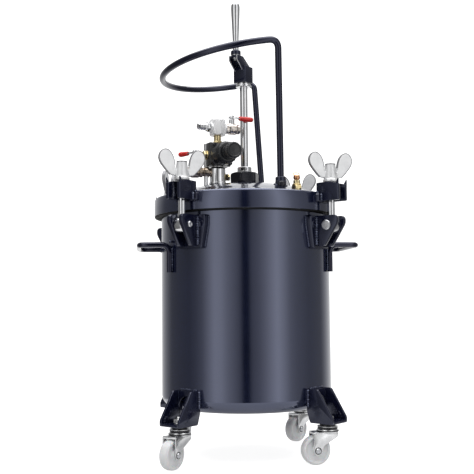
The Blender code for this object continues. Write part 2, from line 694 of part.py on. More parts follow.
# ---- assembly ---------------------------------------------------------------
def build():
    clear()
    kit = Kit("resin_pressure_pot")
    kit.paint("navy_paint", (0.012, 0.018, 0.085), 0.0, 0.22)
    kit.paint("black_metal", (0.02, 0.02, 0.022), 0.6, 0.4)
    kit.paint("black_plastic", (0.02, 0.02, 0.02), 0.0, 0.45)
    kit.paint("chrome", (0.72, 0.73, 0.75), 1.0, 0.12)
    kit.paint("zinc", (0.55, 0.56, 0.58), 1.0, 0.32)
    kit.paint("cast_nut", (0.62, 0.63, 0.65), 0.9, 0.38)
    kit.paint("brass", (0.62, 0.44, 0.16), 1.0, 0.28)
    kit.paint("red_vinyl", (0.55, 0.02, 0.02), 0.0, 0.4)
    kit.paint("grey_nylon", (0.62, 0.63, 0.66), 0.0, 0.45)
    kit.paint("rubber", (0.03, 0.03, 0.03), 0.0, 0.7)

    tank = kit.add("tank_shell", tank_shell(), "navy_paint")
    top = kit.add("lid", lid(), "navy_paint")
    kit.add("lid_gasket", lid_gasket(), "rubber", parent=top)

    for tag, corner in CORNERS:
        deg = corner + CLAMP_TWIST
        leg = corner + LEG_TWIST
        at = polar(CLAMP_R, deg)
        pin_at = polar(CLAMP_R, deg, PIN_Z)
        nut_at = polar(CLAMP_R, deg, NUT_Z)
        kit.add("clamp_clevis_" + tag, clamp_clevis(), "navy_paint", at, (0, 0, deg), tank)
        kit.add("clevis_pin_" + tag, clevis_pin(), "zinc", pin_at, (0, 0, deg), tank)
        bolt = kit.add("swing_bolt_" + tag, swing_bolt(), "zinc", pin_at, (0, 0, deg))
        kit.add("wing_nut_" + tag, wing_nut(), "cast_nut", nut_at,
                (0, 0, WING_TURN[tag]), bolt)
        kit.add("lid_lug_" + tag, lid_lug(), "navy_paint", at, (0, 0, deg), top)
        kit.add("leg_bracket_" + tag, leg_bracket(), "navy_paint", (0, 0, 0), (0, 0, leg), tank)
        spin = CASTER_TURN[tag]
        foot = polar(CASTER_R, leg)
        fork = kit.add("caster_fork_" + tag, caster_fork(), "chrome", foot, (0, 0, spin))
        hub = Vector(foot) + Vector(polar(TRAIL, spin, WHEEL_R))
        kit.add("caster_wheel_" + tag, caster_wheel(), "grey_nylon", hub, (0, 0, spin), fork)

    kit.add("side_handle_right", side_handle(), "navy_paint", parent=tank)
    kit.add("side_handle_left", side_handle(), "navy_paint", rot=(0, 0, 180), parent=tank)

    kit.add("ring_handle", ring_handle(), "navy_paint", parent=top)
    foot_z = dome_z(math.hypot(FOOT_X, FOOT_Y))
    for tag, sign in (("front", -1), ("rear", 1)):
        mesh = handle_foot()
        spin = 0 if sign < 0 else 180
        base = shift(FOOT_X, sign * FOOT_Y, foot_z) @ turn(spin, "Z")
        cut = moved(dome_cutter(), base.inverted())
        kit.add("handle_foot_" + tag, combine(mesh, ("-", cut)), "navy_paint",
                (FOOT_X, sign * FOOT_Y, foot_z), (0, 0, spin), top)

    kit.add("gland_nut", gland_nut(), "black_metal", parent=top)
    shaft = kit.add("agitator_shaft", agitator_shaft(), "chrome", parent=top)
    kit.add("shaft_collar", shaft_collar(), "chrome", parent=shaft)
    kit.add("impeller", impeller(), "chrome", parent=shaft)
    arm_dir = -133.0
    arm = kit.add("crank_arm", crank_arm(), "navy_paint", rot=(0, 0, arm_dir), parent=shaft)
    kit.add("crank_grip", crank_grip(), "chrome", polar(GRIP_OFF, arm_dir), parent=arm)

    at = (MX, MY, 0)
    kit.add("manifold", manifold(), "chrome", at, parent=top)
    kit.add("outlet_valve_body", outlet_valve_body(), "brass", at, parent=top)
    out_at = (MX - PORT_L - GAP - 12.5, MY, PORT_Z + 31.0)
    kit.add("outlet_valve_lever", lever(34.0), "red_vinyl", out_at, (0, 0, 135.0), top)
    kit.add("regulator_body", regulator_body(), "zinc", at, (0, 0, REG_ANG), top)
    kit.add("regulator_bonnet", regulator_bonnet(), "black_metal", at, (0, 0, REG_ANG), top)
    kit.add("regulator_knob", regulator_knob(), "black_plastic", (MX, MY, 489.0),
            (0, 0, REG_ANG), top)
    run = REG_ANG + 90.0
    kit.add("air_tee", air_tee(), "chrome", at, (0, 0, run), top)
    kit.add("hose_barb", hose_barb(), "chrome", at, (0, 0, run), top)
    kit.add("inlet_valve_body", inlet_valve_body(), "chrome", at, (0, 0, run), top)
    lever_at = Vector(at) + Vector(polar(14.5 + GAP + 12, run, 553.8))
    kit.add("inlet_valve_lever", lever(40.0), "red_vinyl", lever_at, (0, 0, run), top)

    sv = (71.0, -96.0, 0)
    cut = moved(dome_cutter(), shift(-sv[0], -sv[1], 0))
    kit.add("safety_valve", combine(safety_valve(), ("-", cut)), "brass", sv, parent=top)
    kit.add("safety_valve_ring", safety_valve_ring(), "brass", sv, parent=top)


build()
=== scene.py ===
"""Looks of the resin pressure pot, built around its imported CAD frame.

Lengths are in millimetres in the code and become metres when a mesh is made.
Every clamp, leg, valve and lever is placed from the joints of the frame.
"""
import json
import math

import bmesh
import bpy
from mathutils import Matrix, Vector


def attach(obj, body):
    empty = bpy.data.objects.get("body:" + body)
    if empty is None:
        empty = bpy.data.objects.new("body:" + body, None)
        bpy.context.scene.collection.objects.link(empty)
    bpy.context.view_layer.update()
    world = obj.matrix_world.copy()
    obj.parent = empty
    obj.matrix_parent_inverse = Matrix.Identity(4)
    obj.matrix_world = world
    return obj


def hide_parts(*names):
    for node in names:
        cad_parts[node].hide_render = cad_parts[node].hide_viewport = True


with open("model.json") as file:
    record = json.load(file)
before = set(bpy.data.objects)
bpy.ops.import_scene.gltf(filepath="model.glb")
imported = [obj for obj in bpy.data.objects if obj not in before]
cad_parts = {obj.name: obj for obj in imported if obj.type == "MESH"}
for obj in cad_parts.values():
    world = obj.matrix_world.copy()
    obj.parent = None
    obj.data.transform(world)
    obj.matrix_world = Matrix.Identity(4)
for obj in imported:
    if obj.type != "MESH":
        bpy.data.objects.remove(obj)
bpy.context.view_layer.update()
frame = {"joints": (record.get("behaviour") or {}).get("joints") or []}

MM = 0.001

# ---- driving dimensions, mm ----
TANK_R = 140.0
TANK_WALL = 4.0
TANK_Z0 = 79.0
KNUCKLE = 20.0
RIM_R = 143.5
RIM_Z0 = 384.0
RIM_Z1 = 397.7
LID_R = 152.0
LID_Z0 = 390.6
LID_SEAT = 402.0
LID_EDGE = 420.5
LID_WALL = 6.0
SEAT_R = 129.0
LID_TOP = 447.0
SHOULDER_R = 141.0
BOSS_R = 27.0
DOME_R = 390.0
CLAMP_R = 166.0
CLAMP_HALF = 8.1
EAR = 7.0
PIN_R = 5.0
BOLT_R = 5.75
CLEVIS_Z0 = 334.0
CLEVIS_Z1 = 382.0
BOLT_TOP = 460.5
LUG_Z0 = 405.0
LUG_Z1 = 434.4
NUT_Z = 434.8
BAR_R = 4.5
BAR_X = 177.0
BAR_Z0 = 296.0
BAR_Z1 = 340.0
BAR_SPREAD = 26.0
LEG_Z0 = 62.5
LEG_Z1 = 113.8
LEG_HALF = 20.5
LEG_R0 = 141.5
LEG_R1 = 183.0
WHEEL_R = 22.5
WHEEL_HALF = 8.5
AXLE_HALF = WHEEL_HALF + 4.0
TRAIL = 20.0
SHAFT_R = 6.6
SHAFT_BORE = SHAFT_R + 0.5
SHAFT_Z0 = 108.0
CRANK_Z = 613.0
GRIP_OFF = 22.0
GRIP_Z = 663.3
CRANK_Z0 = CRANK_Z + 6.9
CRANK_Z1 = GRIP_Z - 0.3
PADDLE_Z = 123.0
RING_R = 138.0
RING_TUBE = 5.4
RING_Z = 657.0
RING_X = 37.3
RING_DIP = 0.17
RING_BEND = 15.0
FOOT_X = 45.0
FOOT_Y = 97.0
PORT_Z = 461.5
PORT_L = 25.0
REG_Z = 489.0
REG_FOOT = 469.3
REG_SPLIT = -4.6
HOOD_X = 11.3
KNOB_X = 45.6
TEE_Z = 535.6
TEE_END = 14.8
SAFETY_XY = (71.0, -96.0)
CORNERS = ("fl", "fr", "rl", "rr")
WING_TURN = {"fl": 15.0, "fr": 12.0, "rl": 70.0, "rr": -25.0}


# ---- meshes ----
def mesh_from(verts, faces):
    mesh = bpy.data.meshes.new("piece")
    mesh.from_pydata([Vector(v) * MM for v in verts], [], faces)
    bm = bmesh.new()
    bm.from_mesh(mesh)
    bmesh.ops.remove_doubles(bm, verts=bm.verts, dist=1e-7)
    bmesh.ops.recalc_face_normals(bm, faces=bm.faces)
    bm.to_mesh(mesh)
    bm.free()
    return mesh


def add(name, data):
    """Put new data in the scene as an object."""
    obj = bpy.data.objects.new(name, data)
    bpy.context.scene.collection.objects.link(obj)
    return obj


def shift(x, y, z):
    return Matrix.Translation(Vector((x, y, z)) * MM)


def turn(deg, axis):
    return Matrix.Rotation(math.radians(deg), 4, axis)


def moved(mesh, matrix):
    mesh.transform(matrix)
    if matrix.determinant() < 0:
        mesh.flip_normals()
    return mesh


def join(*meshes):
    """Several closed bodies in one mesh."""
    bm = bmesh.new()
    for mesh in meshes:
        bm.from_mesh(mesh)
    joined = bpy.data.meshes.new("piece")
    bm.to_mesh(joined)
    bm.free()
    return joined


def soften(mesh, width, segments=2, angle=28.0):
    """Round every edge sharper than the angle."""
    bm = bmesh.new()
    bm.from_mesh(mesh)
    limit = math.radians(angle)
    edges = [e for e in bm.edges if len(e.link_faces) == 2 and e.calc_face_angle() > limit]
    bmesh.ops.bevel(bm, geom=edges, offset=width * MM, segments=segments, profile=0.5,
                    affect="EDGES", clamp_overlap=True)
    bm.to_mesh(mesh)
    bm.free()
    return mesh


def rounded(points, radius, steps=3, closed=False):
    """Replace each corner of a polyline with a short curve."""
    pts = [Vector(p) for p in points]
    count = len(pts)
    out = []
    for i, corner in enumerate(pts):
        if not closed and i in (0, count - 1):
            out.append(tuple(corner))
            continue
        to_last = pts[i - 1] - corner
        to_next = pts[(i + 1) % count] - corner
        reach = min(radius, 0.45 * to_last.length, 0.45 * to_next.length)
        start = corner + to_last.normalized() * reach
        end = corner + to_next.normalized() * reach
        for k in range(steps + 1):
            s = k / steps
            out.append(tuple(start * (1 - s) ** 2 + corner * 2 * s * (1 - s) + end * s * s))
    return out


def arc(cx, cz, r, a0, a1, n):
    out = []
    for k in range(n + 1):
        a = math.radians(a0 + (a1 - a0) * k / n)
        out.append((cx + r * math.cos(a), cz + r * math.sin(a)))
    return out


def flat_radius(r, angle, sides, flats, phase):
    """Radius of a turned profile cut by a polygon of that size across flats."""
    step = 2 * math.pi / sides
    off = (angle - math.radians(phase)) % step - step / 2
    return min(r, flats / 2 / math.cos(off))


def lathe(profile, n=64, loop=False, sides=0, flats=0.0, phase=0.0, flute=0.0, flutes=0):
    """Revolve (r, z) points about Z, with optional polygon flats or grip flutes."""
    verts = []
    rows = []
    for r, z in profile:
        if r < 1e-6:
            rows.append([len(verts)] * n)
            verts.append((0.0, 0.0, z))
            continue
        row = []
        for i in range(n):
            a = 2 * math.pi * i / n
            reach = r
            if sides:
                reach = flat_radius(r, a, sides, flats, phase)
            if flutes:
                reach -= flute * (0.5 + 0.5 * math.cos(flutes * a)) * min(1.0, r / 10)
            row.append(len(verts))
            verts.append((reach * math.cos(a), reach * math.sin(a), z))
        rows.append(row)
    faces = []
    pairs = list(zip(rows[:-1], rows[1:]))
    if loop:
        pairs.append((rows[-1], rows[0]))
    for low, high in pairs:
        for i in range(n):
            j = (i + 1) % n
            face = []
            for v in (low[i], low[j], high[j], high[i]):
                if v not in face:
                    face.append(v)
            if len(face) > 2:
                faces.append(face)
    return mesh_from(verts, faces)


def turned(points, soft, n=48, loop=False, steps=3, **cut):
    """Revolve a profile after its corners are rounded."""
    return lathe(rounded(points, soft, steps, loop), n, loop, **cut)


def rect(x0, x1, z0, z1):
    return [(x0, z0), (x1, z0), (x1, z1), (x0, z1)]


def lifted(points, z):
    return [(r, z + rise) for r, rise in points]


def rod(r, z0, z1, n=48, edge=0.5):
    return turned(rect(0, r, z0, z1), edge, n)


def band(r0, r1, z0, z1, soft, n=64, steps=4):
    return turned(rect(r0, r1, z0, z1), soft, n, True, steps)


def nut(flats, z0, z1, phase=0.0, chamfer=1.0):
    """Solid hexagon with turned chamfers."""
    tip = flats / 2 / math.cos(math.pi / 6)
    low = flats / 2 * 0.97
    pts = [(0, z0), (low, z0), (tip, z0 + chamfer), (tip, z1 - chamfer), (low, z1), (0, z1)]
    return lathe(pts, 96, sides=6, flats=flats, phase=phase)


def skin(verts, n):
    """Body through sections of n points each, with a flat face at both ends."""
    last = len(verts) // n - 1
    faces = [list(range(n)), list(range(last * n, last * n + n))]
    for i in range(last):
        for k in range(n):
            j = (k + 1) % n
            faces.append([i * n + k, i * n + j, (i + 1) * n + j, (i + 1) * n + k])
    return mesh_from(verts, faces)


def extrude(points, place, t0, t1, edge):
    """Body between two copies of an outline, with its edges softened if edge isn't zero."""
    mesh = skin([place(a, b, t) for t in (t0, t1) for a, b in points], len(points))
    return soften(mesh, edge) if edge else mesh


def prism(points, t0, t1, edge=0.0):
    """Extrude an (x, z) outline from y = t0 to y = t1."""
    return extrude(points, lambda x, z, t: (x, t, z), t0, t1, edge)


def slab(points, x0, x1, edge=0.0):
    """Extrude a (y, z) outline from x = x0 to x = x1."""
    return moved(prism([(-y, z) for y, z in points], x0, x1, edge), turn(-90, "Z"))


def plate(points, z0, z1, edge=0.0):
    """Extrude an (x, y) outline from z0 to z1."""
    return extrude(points, lambda x, y, t: (x, y, t), z0, z1, edge)


def cheeks(points, near, far, edge):
    """The same prism on both sides of y = 0."""
    return [prism(points, side * near, side * far, edge) for side in (-1, 1)]


def block(x0, x1, y0, y1, z0, z1, corner=1.5, edge=0.8):
    return plate(rounded(rect(x0, x1, y0, y1), corner, 4, True), z0, z1, edge)


def sweep(path, radius, n=16):
    """Round bar along a polyline; radius is a number or one value per point."""
    path = [Vector(p) for p in path]
    count = len(path)
    radii = radius if isinstance(radius, list) else [radius] * count
    tangents = []
    for i in range(count):
        tangents.append((path[min(i + 1, count - 1)] - path[max(i - 1, 0)]).normalized())
    side = tangents[0].orthogonal().normalized()
    verts = []
    for i in range(count):
        if i:
            side = tangents[i - 1].rotation_difference(tangents[i]) @ side
        up = tangents[i].cross(side)
        for k in range(n):
            a = 2 * math.pi * k / n
            verts.append(path[i] + (side * math.cos(a) + up * math.sin(a)) * radii[i])
    return skin(verts, n)


def resample(points, step):
    pts = [Vector(p) for p in points]
    out = [pts[0]]
    for a, b in zip(pts[:-1], pts[1:]):
        count = max(1, round((b - a).length / step))
        for k in range(1, count + 1):
            out.append(a.lerp(b, k / count))
    return out


def bead(points, r=2.3, pitch=3.8, step=0.6):
    """A weld run: a bar that swells and wanders a little at every ripple."""
    path = resample(points, step)
    radii = []
    last = len(path) - 1
    for k in range(last + 1):
        ripple = abs(math.sin(math.pi * k * step / pitch))
        end = min(1.0, 0.35 + 0.3 * min(k, last - k))
        radii.append(r * (0.62 + 0.44 * ripple) * end)
        path[k] = path[k] + Vector((0, 0, 0.25 * math.sin(k * 1.7)))
    return sweep(path, radii, 10)


def beads(points, r, pitch=3.8):
    """The same weld run on both sides of y = 0."""
    return [bead([(x, side * y, z) for x, y, z in points], r, pitch) for side in (-1, 1)]


# ---- materials ----
def wire(tree, target, sockets):
    """Set each socket to a value, or link it where the value is another node's output."""
    for key, value in sockets.items():
        if isinstance(value, bpy.types.NodeSocket):
            tree.links.new(value, target.inputs[key])
        else:
            target.inputs[key].default_value = value


def add_node(tree, kind, sockets, **settings):
    made = tree.nodes.new("ShaderNode" + kind)
    for name, value in settings.items():
        setattr(made, name, value)
    wire(tree, made, sockets)
    return made


def noise(tree, coord, scale, detail=4.0, rough=0.55):
    return add_node(tree, "TexNoise", {"Vector": coord, "Scale": scale, "Detail": detail,
                                       "Roughness": rough}).outputs["Fac"]


def spread(tree, value, low, high, out_low=0.0, out_high=1.0):
    return add_node(tree, "MapRange", {
        "Value": value, "From Min": low, "From Max": high, "To Min": out_low,
        "To Max": out_high}).outputs["Result"]


def maths(tree, operation, a, b):
    return add_node(tree, "Math", {0: a, 1: b}, operation=operation).outputs[0]


def blend_colour(tree, factor, a, b):
    """Mix two colours, each a tuple or an output; 6, 7 and 2 are Mix's colour sockets."""
    a, b = ((*v, 1.0) if isinstance(v, tuple) else v for v in (a, b))
    return add_node(tree, "Mix", {0: factor, 6: a, 7: b}, data_type="RGBA").outputs[2]


def edge_mask(tree, coord, width, rub):
    """Where a rounded copy of the surface turns away from the surface: its edges."""
    bevel = add_node(tree, "Bevel", {"Radius": width * MM}, samples=6).outputs["Normal"]
    flat = add_node(tree, "NewGeometry", {}).outputs["Normal"]
    facing = add_node(tree, "VectorMath", {0: bevel, 1: flat}, operation="DOT_PRODUCT")
    edge = spread(tree, facing.outputs["Value"], 0.975, 0.86)
    patches = spread(tree, noise(tree, coord, rub, 5.0, 0.65), 0.42, 0.62, 0.1, 1.0)
    return maths(tree, "MULTIPLY", edge, patches)


def finish(name, low, high, patch, rough, grain, depth, metallic, wear_and_painted_light, worn_rough,
           edge=0.9, sockets=None):
    """One procedural finish: blotches, patchy roughness, fine grain and an edge tint, which is
    rubbed wear on most, painted shade on cast_nut and a painted highlight on navy_crank.
    """
    mat = bpy.data.materials.new(name)
    mat.use_nodes = True
    tree = mat.node_tree
    coord = add_node(tree, "TexCoord", {}).outputs["Object"]
    blotch = spread(tree, noise(tree, coord, patch), 0.32, 0.68)
    speck = spread(tree, noise(tree, coord, grain * 0.5, 3.0, 0.7), 0.35, 0.7)
    smear = spread(tree, noise(tree, coord, patch * 2.3, 6.0, 0.6), 0.3, 0.7)
    mixed = maths(tree, "ADD", maths(tree, "MULTIPLY", speck, 0.35),
                  maths(tree, "MULTIPLY", smear, 0.65))
    sheen = spread(tree, mixed, 0.0, 1.0, *rough)
    mask = edge_mask(tree, coord, edge, grain * 0.25)
    # Edge tint: rubbed wear on most finishes, painted shade on cast_nut, painted highlight on
    # navy_crank.
    colour = blend_colour(tree, mask, blend_colour(tree, blotch, low, high), wear_and_painted_light)
    sheen = maths(tree, "MULTIPLY", sheen, maths(tree, "SUBTRACT", 1.0, mask))
    sheen = maths(tree, "ADD", sheen, maths(tree, "MULTIPLY", mask, worn_rough))
    height = noise(tree, coord, grain, 3.0, 0.5)
    bump = add_node(tree, "Bump", {"Strength": 1.0, "Distance": depth * MM, "Height": height})
    wire(tree, tree.nodes["Principled BSDF"], {
        "Metallic": metallic, **(sockets or {}), "Base Color": colour, "Roughness": sheen,
        "Normal": bump.outputs["Normal"]})
    return mat


def lacquer(level, tint, coat, coat_rough, ior=1.5):
    return {"IOR": ior, "Specular IOR Level": level, "Specular Tint": (*tint, 1.0),
            "Coat Weight": coat, "Coat Roughness": coat_rough}


# Each row: the two tints of the blotches and their scale, range of roughness, scale and
# depth (mm) of the grain, metallic, tint and roughness at the edges, the width (mm) of
# that edge band, and what the shader's other sockets are set to. The edge tint is rubbed
# wear on most rows; on cast_nut it is painted shade, on navy_crank a painted highlight.
FINISH_ROWS = {
    "navy_paint": ((0.003, 0.0046, 0.016), (0.0046, 0.0068, 0.0215), 14, (0.09, 0.16), 420,
                   0.018, 0, (0.02, 0.026, 0.05), 0.22, 0.6,
                   lacquer(1, (0.66, 0.72, 1), 0.38, 0.05, 1.68)),
    "navy_bracket": ((0.0032, 0.004, 0.0128), (0.005, 0.006, 0.0175), 30, (0.12, 0.2), 520,
                     0.03, 0, (0.055, 0.065, 0.1), 0.2, 0.8,
                     lacquer(0.66, (0.72, 0.77, 1), 0.1, 0.06)),
    # navy_crank: its pale edge tint (0.2, 0.21, 0.25) is a painted highlight along the arm's
    # edges.
    "navy_crank": ((0.0032, 0.004, 0.0128), (0.005, 0.006, 0.0175), 30, (0.1, 0.18), 520, 0.03,
                   0, (0.2, 0.21, 0.25), 0.2, 1.1, lacquer(0.7, (0.72, 0.77, 1), 0.1, 0.06)),
    "navy_bar": ((0.0026, 0.0032, 0.011), (0.0042, 0.005, 0.015), 26, (0.04, 0.09), 480, 0.015,
                 0, (0.018, 0.022, 0.044), 0.14, 0.6, lacquer(0.58, (0.74, 0.76, 1), 0.08, 0.03)),
    # gasket_rubber's near-black tone and low specular also darken the skirt lip, which is painted
    # shade.
    "gasket_rubber": ((0.004, 0.004, 0.004), (0.008, 0.008, 0.009), 60, (0.55, 0.75), 1500,
                      0.08, 0, (0.015, 0.015, 0.015), 0.8, 0.9, {"Specular IOR Level": 0.2}),
    "zinc_pin": ((0.5, 0.51, 0.54), (0.68, 0.69, 0.7), 90, (0.22, 0.38), 1400, 0.05, 1,
                 (0.78, 0.78, 0.78), 0.2),
    "bolt_chrome": ((0.62, 0.63, 0.65), (0.8, 0.8, 0.81), 70, (0.1, 0.22), 900, 0.012, 1,
                    (0.85, 0.85, 0.85), 0.12),
    # cast_nut: its dark edge tint (0.4, 0.4, 0.42) is painted shade on the edges of wings and hub.
    "cast_nut": ((0.74, 0.745, 0.755), (0.86, 0.865, 0.87), 55, (0.34, 0.5), 1300, 0.11, 0.6,
                 (0.4, 0.4, 0.42), 0.3, 1),
    # This finish colours the dark hoops round the wings and the ring on the hub's top: painted
    # shade.
    "cast_edge_shade": ((0.17, 0.17, 0.18), (0.27, 0.27, 0.28), 120, (0.3, 0.45), 1300, 0.11, 0.6,
                  (0.55, 0.55, 0.56), 0.3, 0.3),
    "grey_nylon": ((0.56, 0.565, 0.575), (0.66, 0.665, 0.675), 60, (0.32, 0.46), 900, 0.05, 0,
                   (0.66, 0.66, 0.66), 0.5, 0.9,
                   {"Subsurface Weight": 0.12, "Subsurface Scale": 0.004}),
    "caster_chrome": ((0.62, 0.63, 0.64), (0.78, 0.78, 0.79), 80, (0.1, 0.24), 700, 0.02, 1,
                      (0.85, 0.85, 0.85), 0.12),
    "fitting_chrome": ((0.66, 0.67, 0.69), (0.8, 0.8, 0.81), 90, (0.05, 0.15), 500, 0.01, 1,
                       (0.88, 0.88, 0.88), 0.08),
    "black_metal": ((0.006, 0.007, 0.013), (0.012, 0.013, 0.022), 70, (0.16, 0.26), 900, 0.04,
                    0.2, (0.08, 0.08, 0.1), 0.24),
    "zinc_cast": ((0.52, 0.52, 0.53), (0.68, 0.68, 0.68), 80, (0.24, 0.4), 1200, 0.06, 1,
                  (0.8, 0.8, 0.8), 0.22),
    "black_plastic": ((0.009, 0.01, 0.012), (0.016, 0.017, 0.02), 60, (0.22, 0.32), 1600, 0.05,
                      0, (0.06, 0.06, 0.06), 0.36),
    "red_vinyl": ((0.52, 0.012, 0.01), (0.66, 0.022, 0.016), 110, (0.24, 0.38), 420, 0.06, 0,
                  (0.78, 0.12, 0.09), 0.3),
    "brass": ((0.56, 0.44, 0.22), (0.78, 0.67, 0.4), 130, (0.12, 0.28), 1100, 0.02, 1,
              (0.88, 0.8, 0.56), 0.14),
    "aged_brass": ((0.22, 0.16, 0.11), (0.56, 0.48, 0.4), 150, (0.1, 0.26), 1100, 0.02, 1,
                   (0.8, 0.7, 0.54), 0.14),
    "nickel": ((0.52, 0.45, 0.4), (0.8, 0.76, 0.72), 110, (0.08, 0.2), 700, 0.012, 1,
               (0.86, 0.84, 0.8), 0.1),
    "satin_plate": ((0.88, 0.88, 0.89), (0.95, 0.95, 0.96), 100, (0.26, 0.4), 1000, 0.03, 0.15,
                    (0.96, 0.96, 0.96), 0.2),
    "copper_ball": ((0.6, 0.28, 0.14), (0.74, 0.4, 0.22), 130, (0.16, 0.3), 1100, 0.02, 1,
                    (0.85, 0.55, 0.36), 0.15),
    "weld": ((0.004, 0.005, 0.016), (0.009, 0.011, 0.028), 160, (0.1, 0.2), 700, 0.06, 0,
             (0.035, 0.042, 0.075), 0.2, 0.9, lacquer(0.95, (0.62, 0.7, 1), 0.25, 0.06)),
}
FINISH = {name: finish(name, *row) for name, row in FINISH_ROWS.items()}
# Widest angle, in degrees, across which a face is shaded smooth.
SMOOTH = 32.0
SMOOTH_CAST = 50.0


# ---- placing ----
JOINT = {joint["name"]: joint for joint in frame["joints"]}


def spot(joint):
    return Vector(JOINT[joint]["pos_m"]) / MM


def heading(v):
    return math.degrees(math.atan2(v[1], v[0]))


def piece(name, mesh, paint, body, *nodes, at=(0, 0, 0), spin=0.0):
    """One visible piece: meshed, finished, placed, and riding on its body."""
    mesh.name = name
    mesh.materials.clear()
    mesh.materials.append(FINISH[paint])
    mesh.shade_smooth()
    mesh.set_sharp_from_angle(angle=math.radians(SMOOTH_CAST if paint == "cast_nut" else SMOOTH))
    obj = add(name, mesh)
    obj.matrix_world = shift(*at) @ turn(spin, "Z")
    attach(obj, body)
    if nodes:
        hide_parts(*nodes)


def copies(tag, places, rows):
    """A copy of each row's mesh at one of the places. A body that ends in _ takes the tag."""
    for name, mesh, paint, body, node, place in rows:
        at, spin = places[place]
        rides_on = body + tag if body.endswith("_") else body
        nodes = [node + tag] if node else []
        piece(name + tag, mesh.copy(), paint, rides_on, *nodes, at=at, spin=spin)


# ---- tank and lid ----
def dome_z(r):
    return LID_TOP - (DOME_R - math.sqrt(DOME_R ** 2 - r ** 2))


def tank_mesh():
    k = KNUCKLE
    w = TANK_WALL
    low = [(0, TANK_Z0)] + arc(TANK_R - k, TANK_Z0 + k, k, -90, 0, 12)
    wall = [(TANK_R, z) for z in range(120, 370, 30)]
    rim = rounded([(TANK_R, RIM_Z0 - 6), (TANK_R, LID_Z0 + 1), (RIM_R, LID_Z0 + 2.6),
                   (RIM_R, RIM_Z1), (TANK_R - w, RIM_Z1), (TANK_R - w, RIM_Z1 - 8)], 1.2)
    inner = arc(TANK_R - k, TANK_Z0 + k, k - w, 0, -90, 8) + [(0, TANK_Z0 + w)]
    return lathe(low + wall + rim + inner, 192)


def lid_mesh():
    shoulder = [(BOSS_R + 1.2, dome_z(BOSS_R + 1.2))]
    for k in range(1, 12):
        r = BOSS_R + (SHOULDER_R - BOSS_R) * k / 11
        shoulder.append((r, dome_z(r)))
    boss = rounded([(SHAFT_BORE, LID_TOP - 2), (SHAFT_BORE, LID_TOP), (BOSS_R, LID_TOP),
                    shoulder[0]], 0.8)
    edge = rounded([shoulder[-1], (LID_R - 1.6, LID_EDGE - 0.4), (LID_R, LID_EDGE - 4)], 2, 4)
    edge += rounded([(LID_R, LID_Z0 + 12), (LID_R, LID_Z0), (RIM_R + 1.5, LID_Z0),
                     (RIM_R + 1.5, LID_SEAT), (SEAT_R, LID_SEAT),
                     (SEAT_R - 7, dome_z(SEAT_R - 7) - LID_WALL)], 0.7, 3)
    under = [(85, dome_z(85) - LID_WALL), (BOSS_R, LID_TOP - 9), (SHAFT_BORE, LID_TOP - 9)]
    return lathe(boss + shoulder[1:-1] + edge + under, 192, loop=True)


def shade_lip_mesh():
    """Black lip that fills the gap between the lid's skirt and the wall: painted shade under the
    overhang.
    """
    lip = [(TANK_R + 0.5, LID_Z0 - 2.2), (LID_R - 0.9, LID_Z0 - 1.9), (LID_R - 0.5, LID_Z0 + 0.2),
           (TANK_R + 0.5, LID_Z0 + 0.2)]
    return turned(lip, 0.5, 160, True)


def make_shells():
    seal = band(131, 144, RIM_Z1 + 0.3, LID_SEAT - 0.3, 1.2, 160)
    piece("tank_wall_and_floor", tank_mesh(), "navy_paint", "tank", "tank_shell")
    piece("lid_dome", lid_mesh(), "navy_paint", "lid", "lid")
    piece("lid_seal_ring", seal, "gasket_rubber", "lid", "lid_gasket")
    # The lip is painted shade: a black ring under the lid's overhang.
    piece("lid_skirt_shade_lip", shade_lip_mesh(), "gasket_rubber", "lid")


# ---- clamps (local +X outward, origin on the bolt line) ----
def lug_mesh():
    inner = LID_R - CLAMP_R - 4
    t = CLAMP_HALF
    ear = lifted([(21.5, -3.8), (17, -2.4), (11.5, -1.2), (0.5, 0), (inner, 0)], LUG_Z1)
    ear = rounded([(inner, LUG_Z0), (21.5, LUG_Z0)] + ear, 2.6, 4, True)
    horn = lifted([(16.4, -9), (21.4, -9), (21.5, 3.8), (20.3, 3.8), (16.4, -2.6)], LUG_Z1)
    horn = rounded(horn, 0.7, 3, True)
    pad = rounded(rect(-t - 13, t + 13, LUG_Z0 - 1.5, LUG_Z1 - 18), 3, 4, True)
    return join(slab(pad, inner - 3, -9.2, 1.2), *cheeks(ear, t, t + 6, 0.7),
                *cheeks(horn, t + 4.2, t + 5.9, 0.5))


def lug_welds():
    t = CLAMP_HALF + 6
    wall = math.sqrt(LID_R ** 2 - t ** 2) - CLAMP_R
    y = t + 0.6
    return join(*beads([(-8.6, y, LUG_Z0 - 0.5), (-8.6, y, LUG_Z1 - 18)], 2.3),
                *beads([(wall + 1, y, LUG_Z1 - 18), (wall + 0.4, y, LID_EDGE - 3),
                        (wall - 2.6, y, LID_EDGE + 0.4)], 1.8))


def clevis_mesh():
    inner = TANK_R - CLAMP_R - 3.6
    t = CLAMP_HALF
    top = CLEVIS_Z1
    ear = [(inner, CLEVIS_Z0), (-5, CLEVIS_Z0), (16.5, 367), (18, top - 10.5)]
    ear = rounded(ear, 3, 4) + arc(12, top - 6, 6, 0, 90, 8) + [(inner, top)]
    pad = [(-t - 14, CLEVIS_Z0 - 3), (t + 14, CLEVIS_Z0 - 3), (t + 21, top - 14),
           (t + 21, top + 1), (-t - 21, top + 1), (-t - 21, top - 14)]
    pad = rounded(pad, 3, 4, True)
    parts = [slab(pad, inner - 1.5, -18.6, 0.8), *cheeks(ear, t, t + EAR, 0.7)]
    for side in (-1, 1):
        dimple = lathe([(0, 0), (5.6, 0), (5.6, 0.5), (4.6, 1), (3.4, 0.5), (0, 0.35)], 40)
        place = shift(-18.7, side * (t + 14.4), top - 14) @ turn(90, "Y")
        parts.append(moved(dimple, place @ Matrix.Diagonal((1.05, 0.8, 1, 1))))
    return join(*parts)


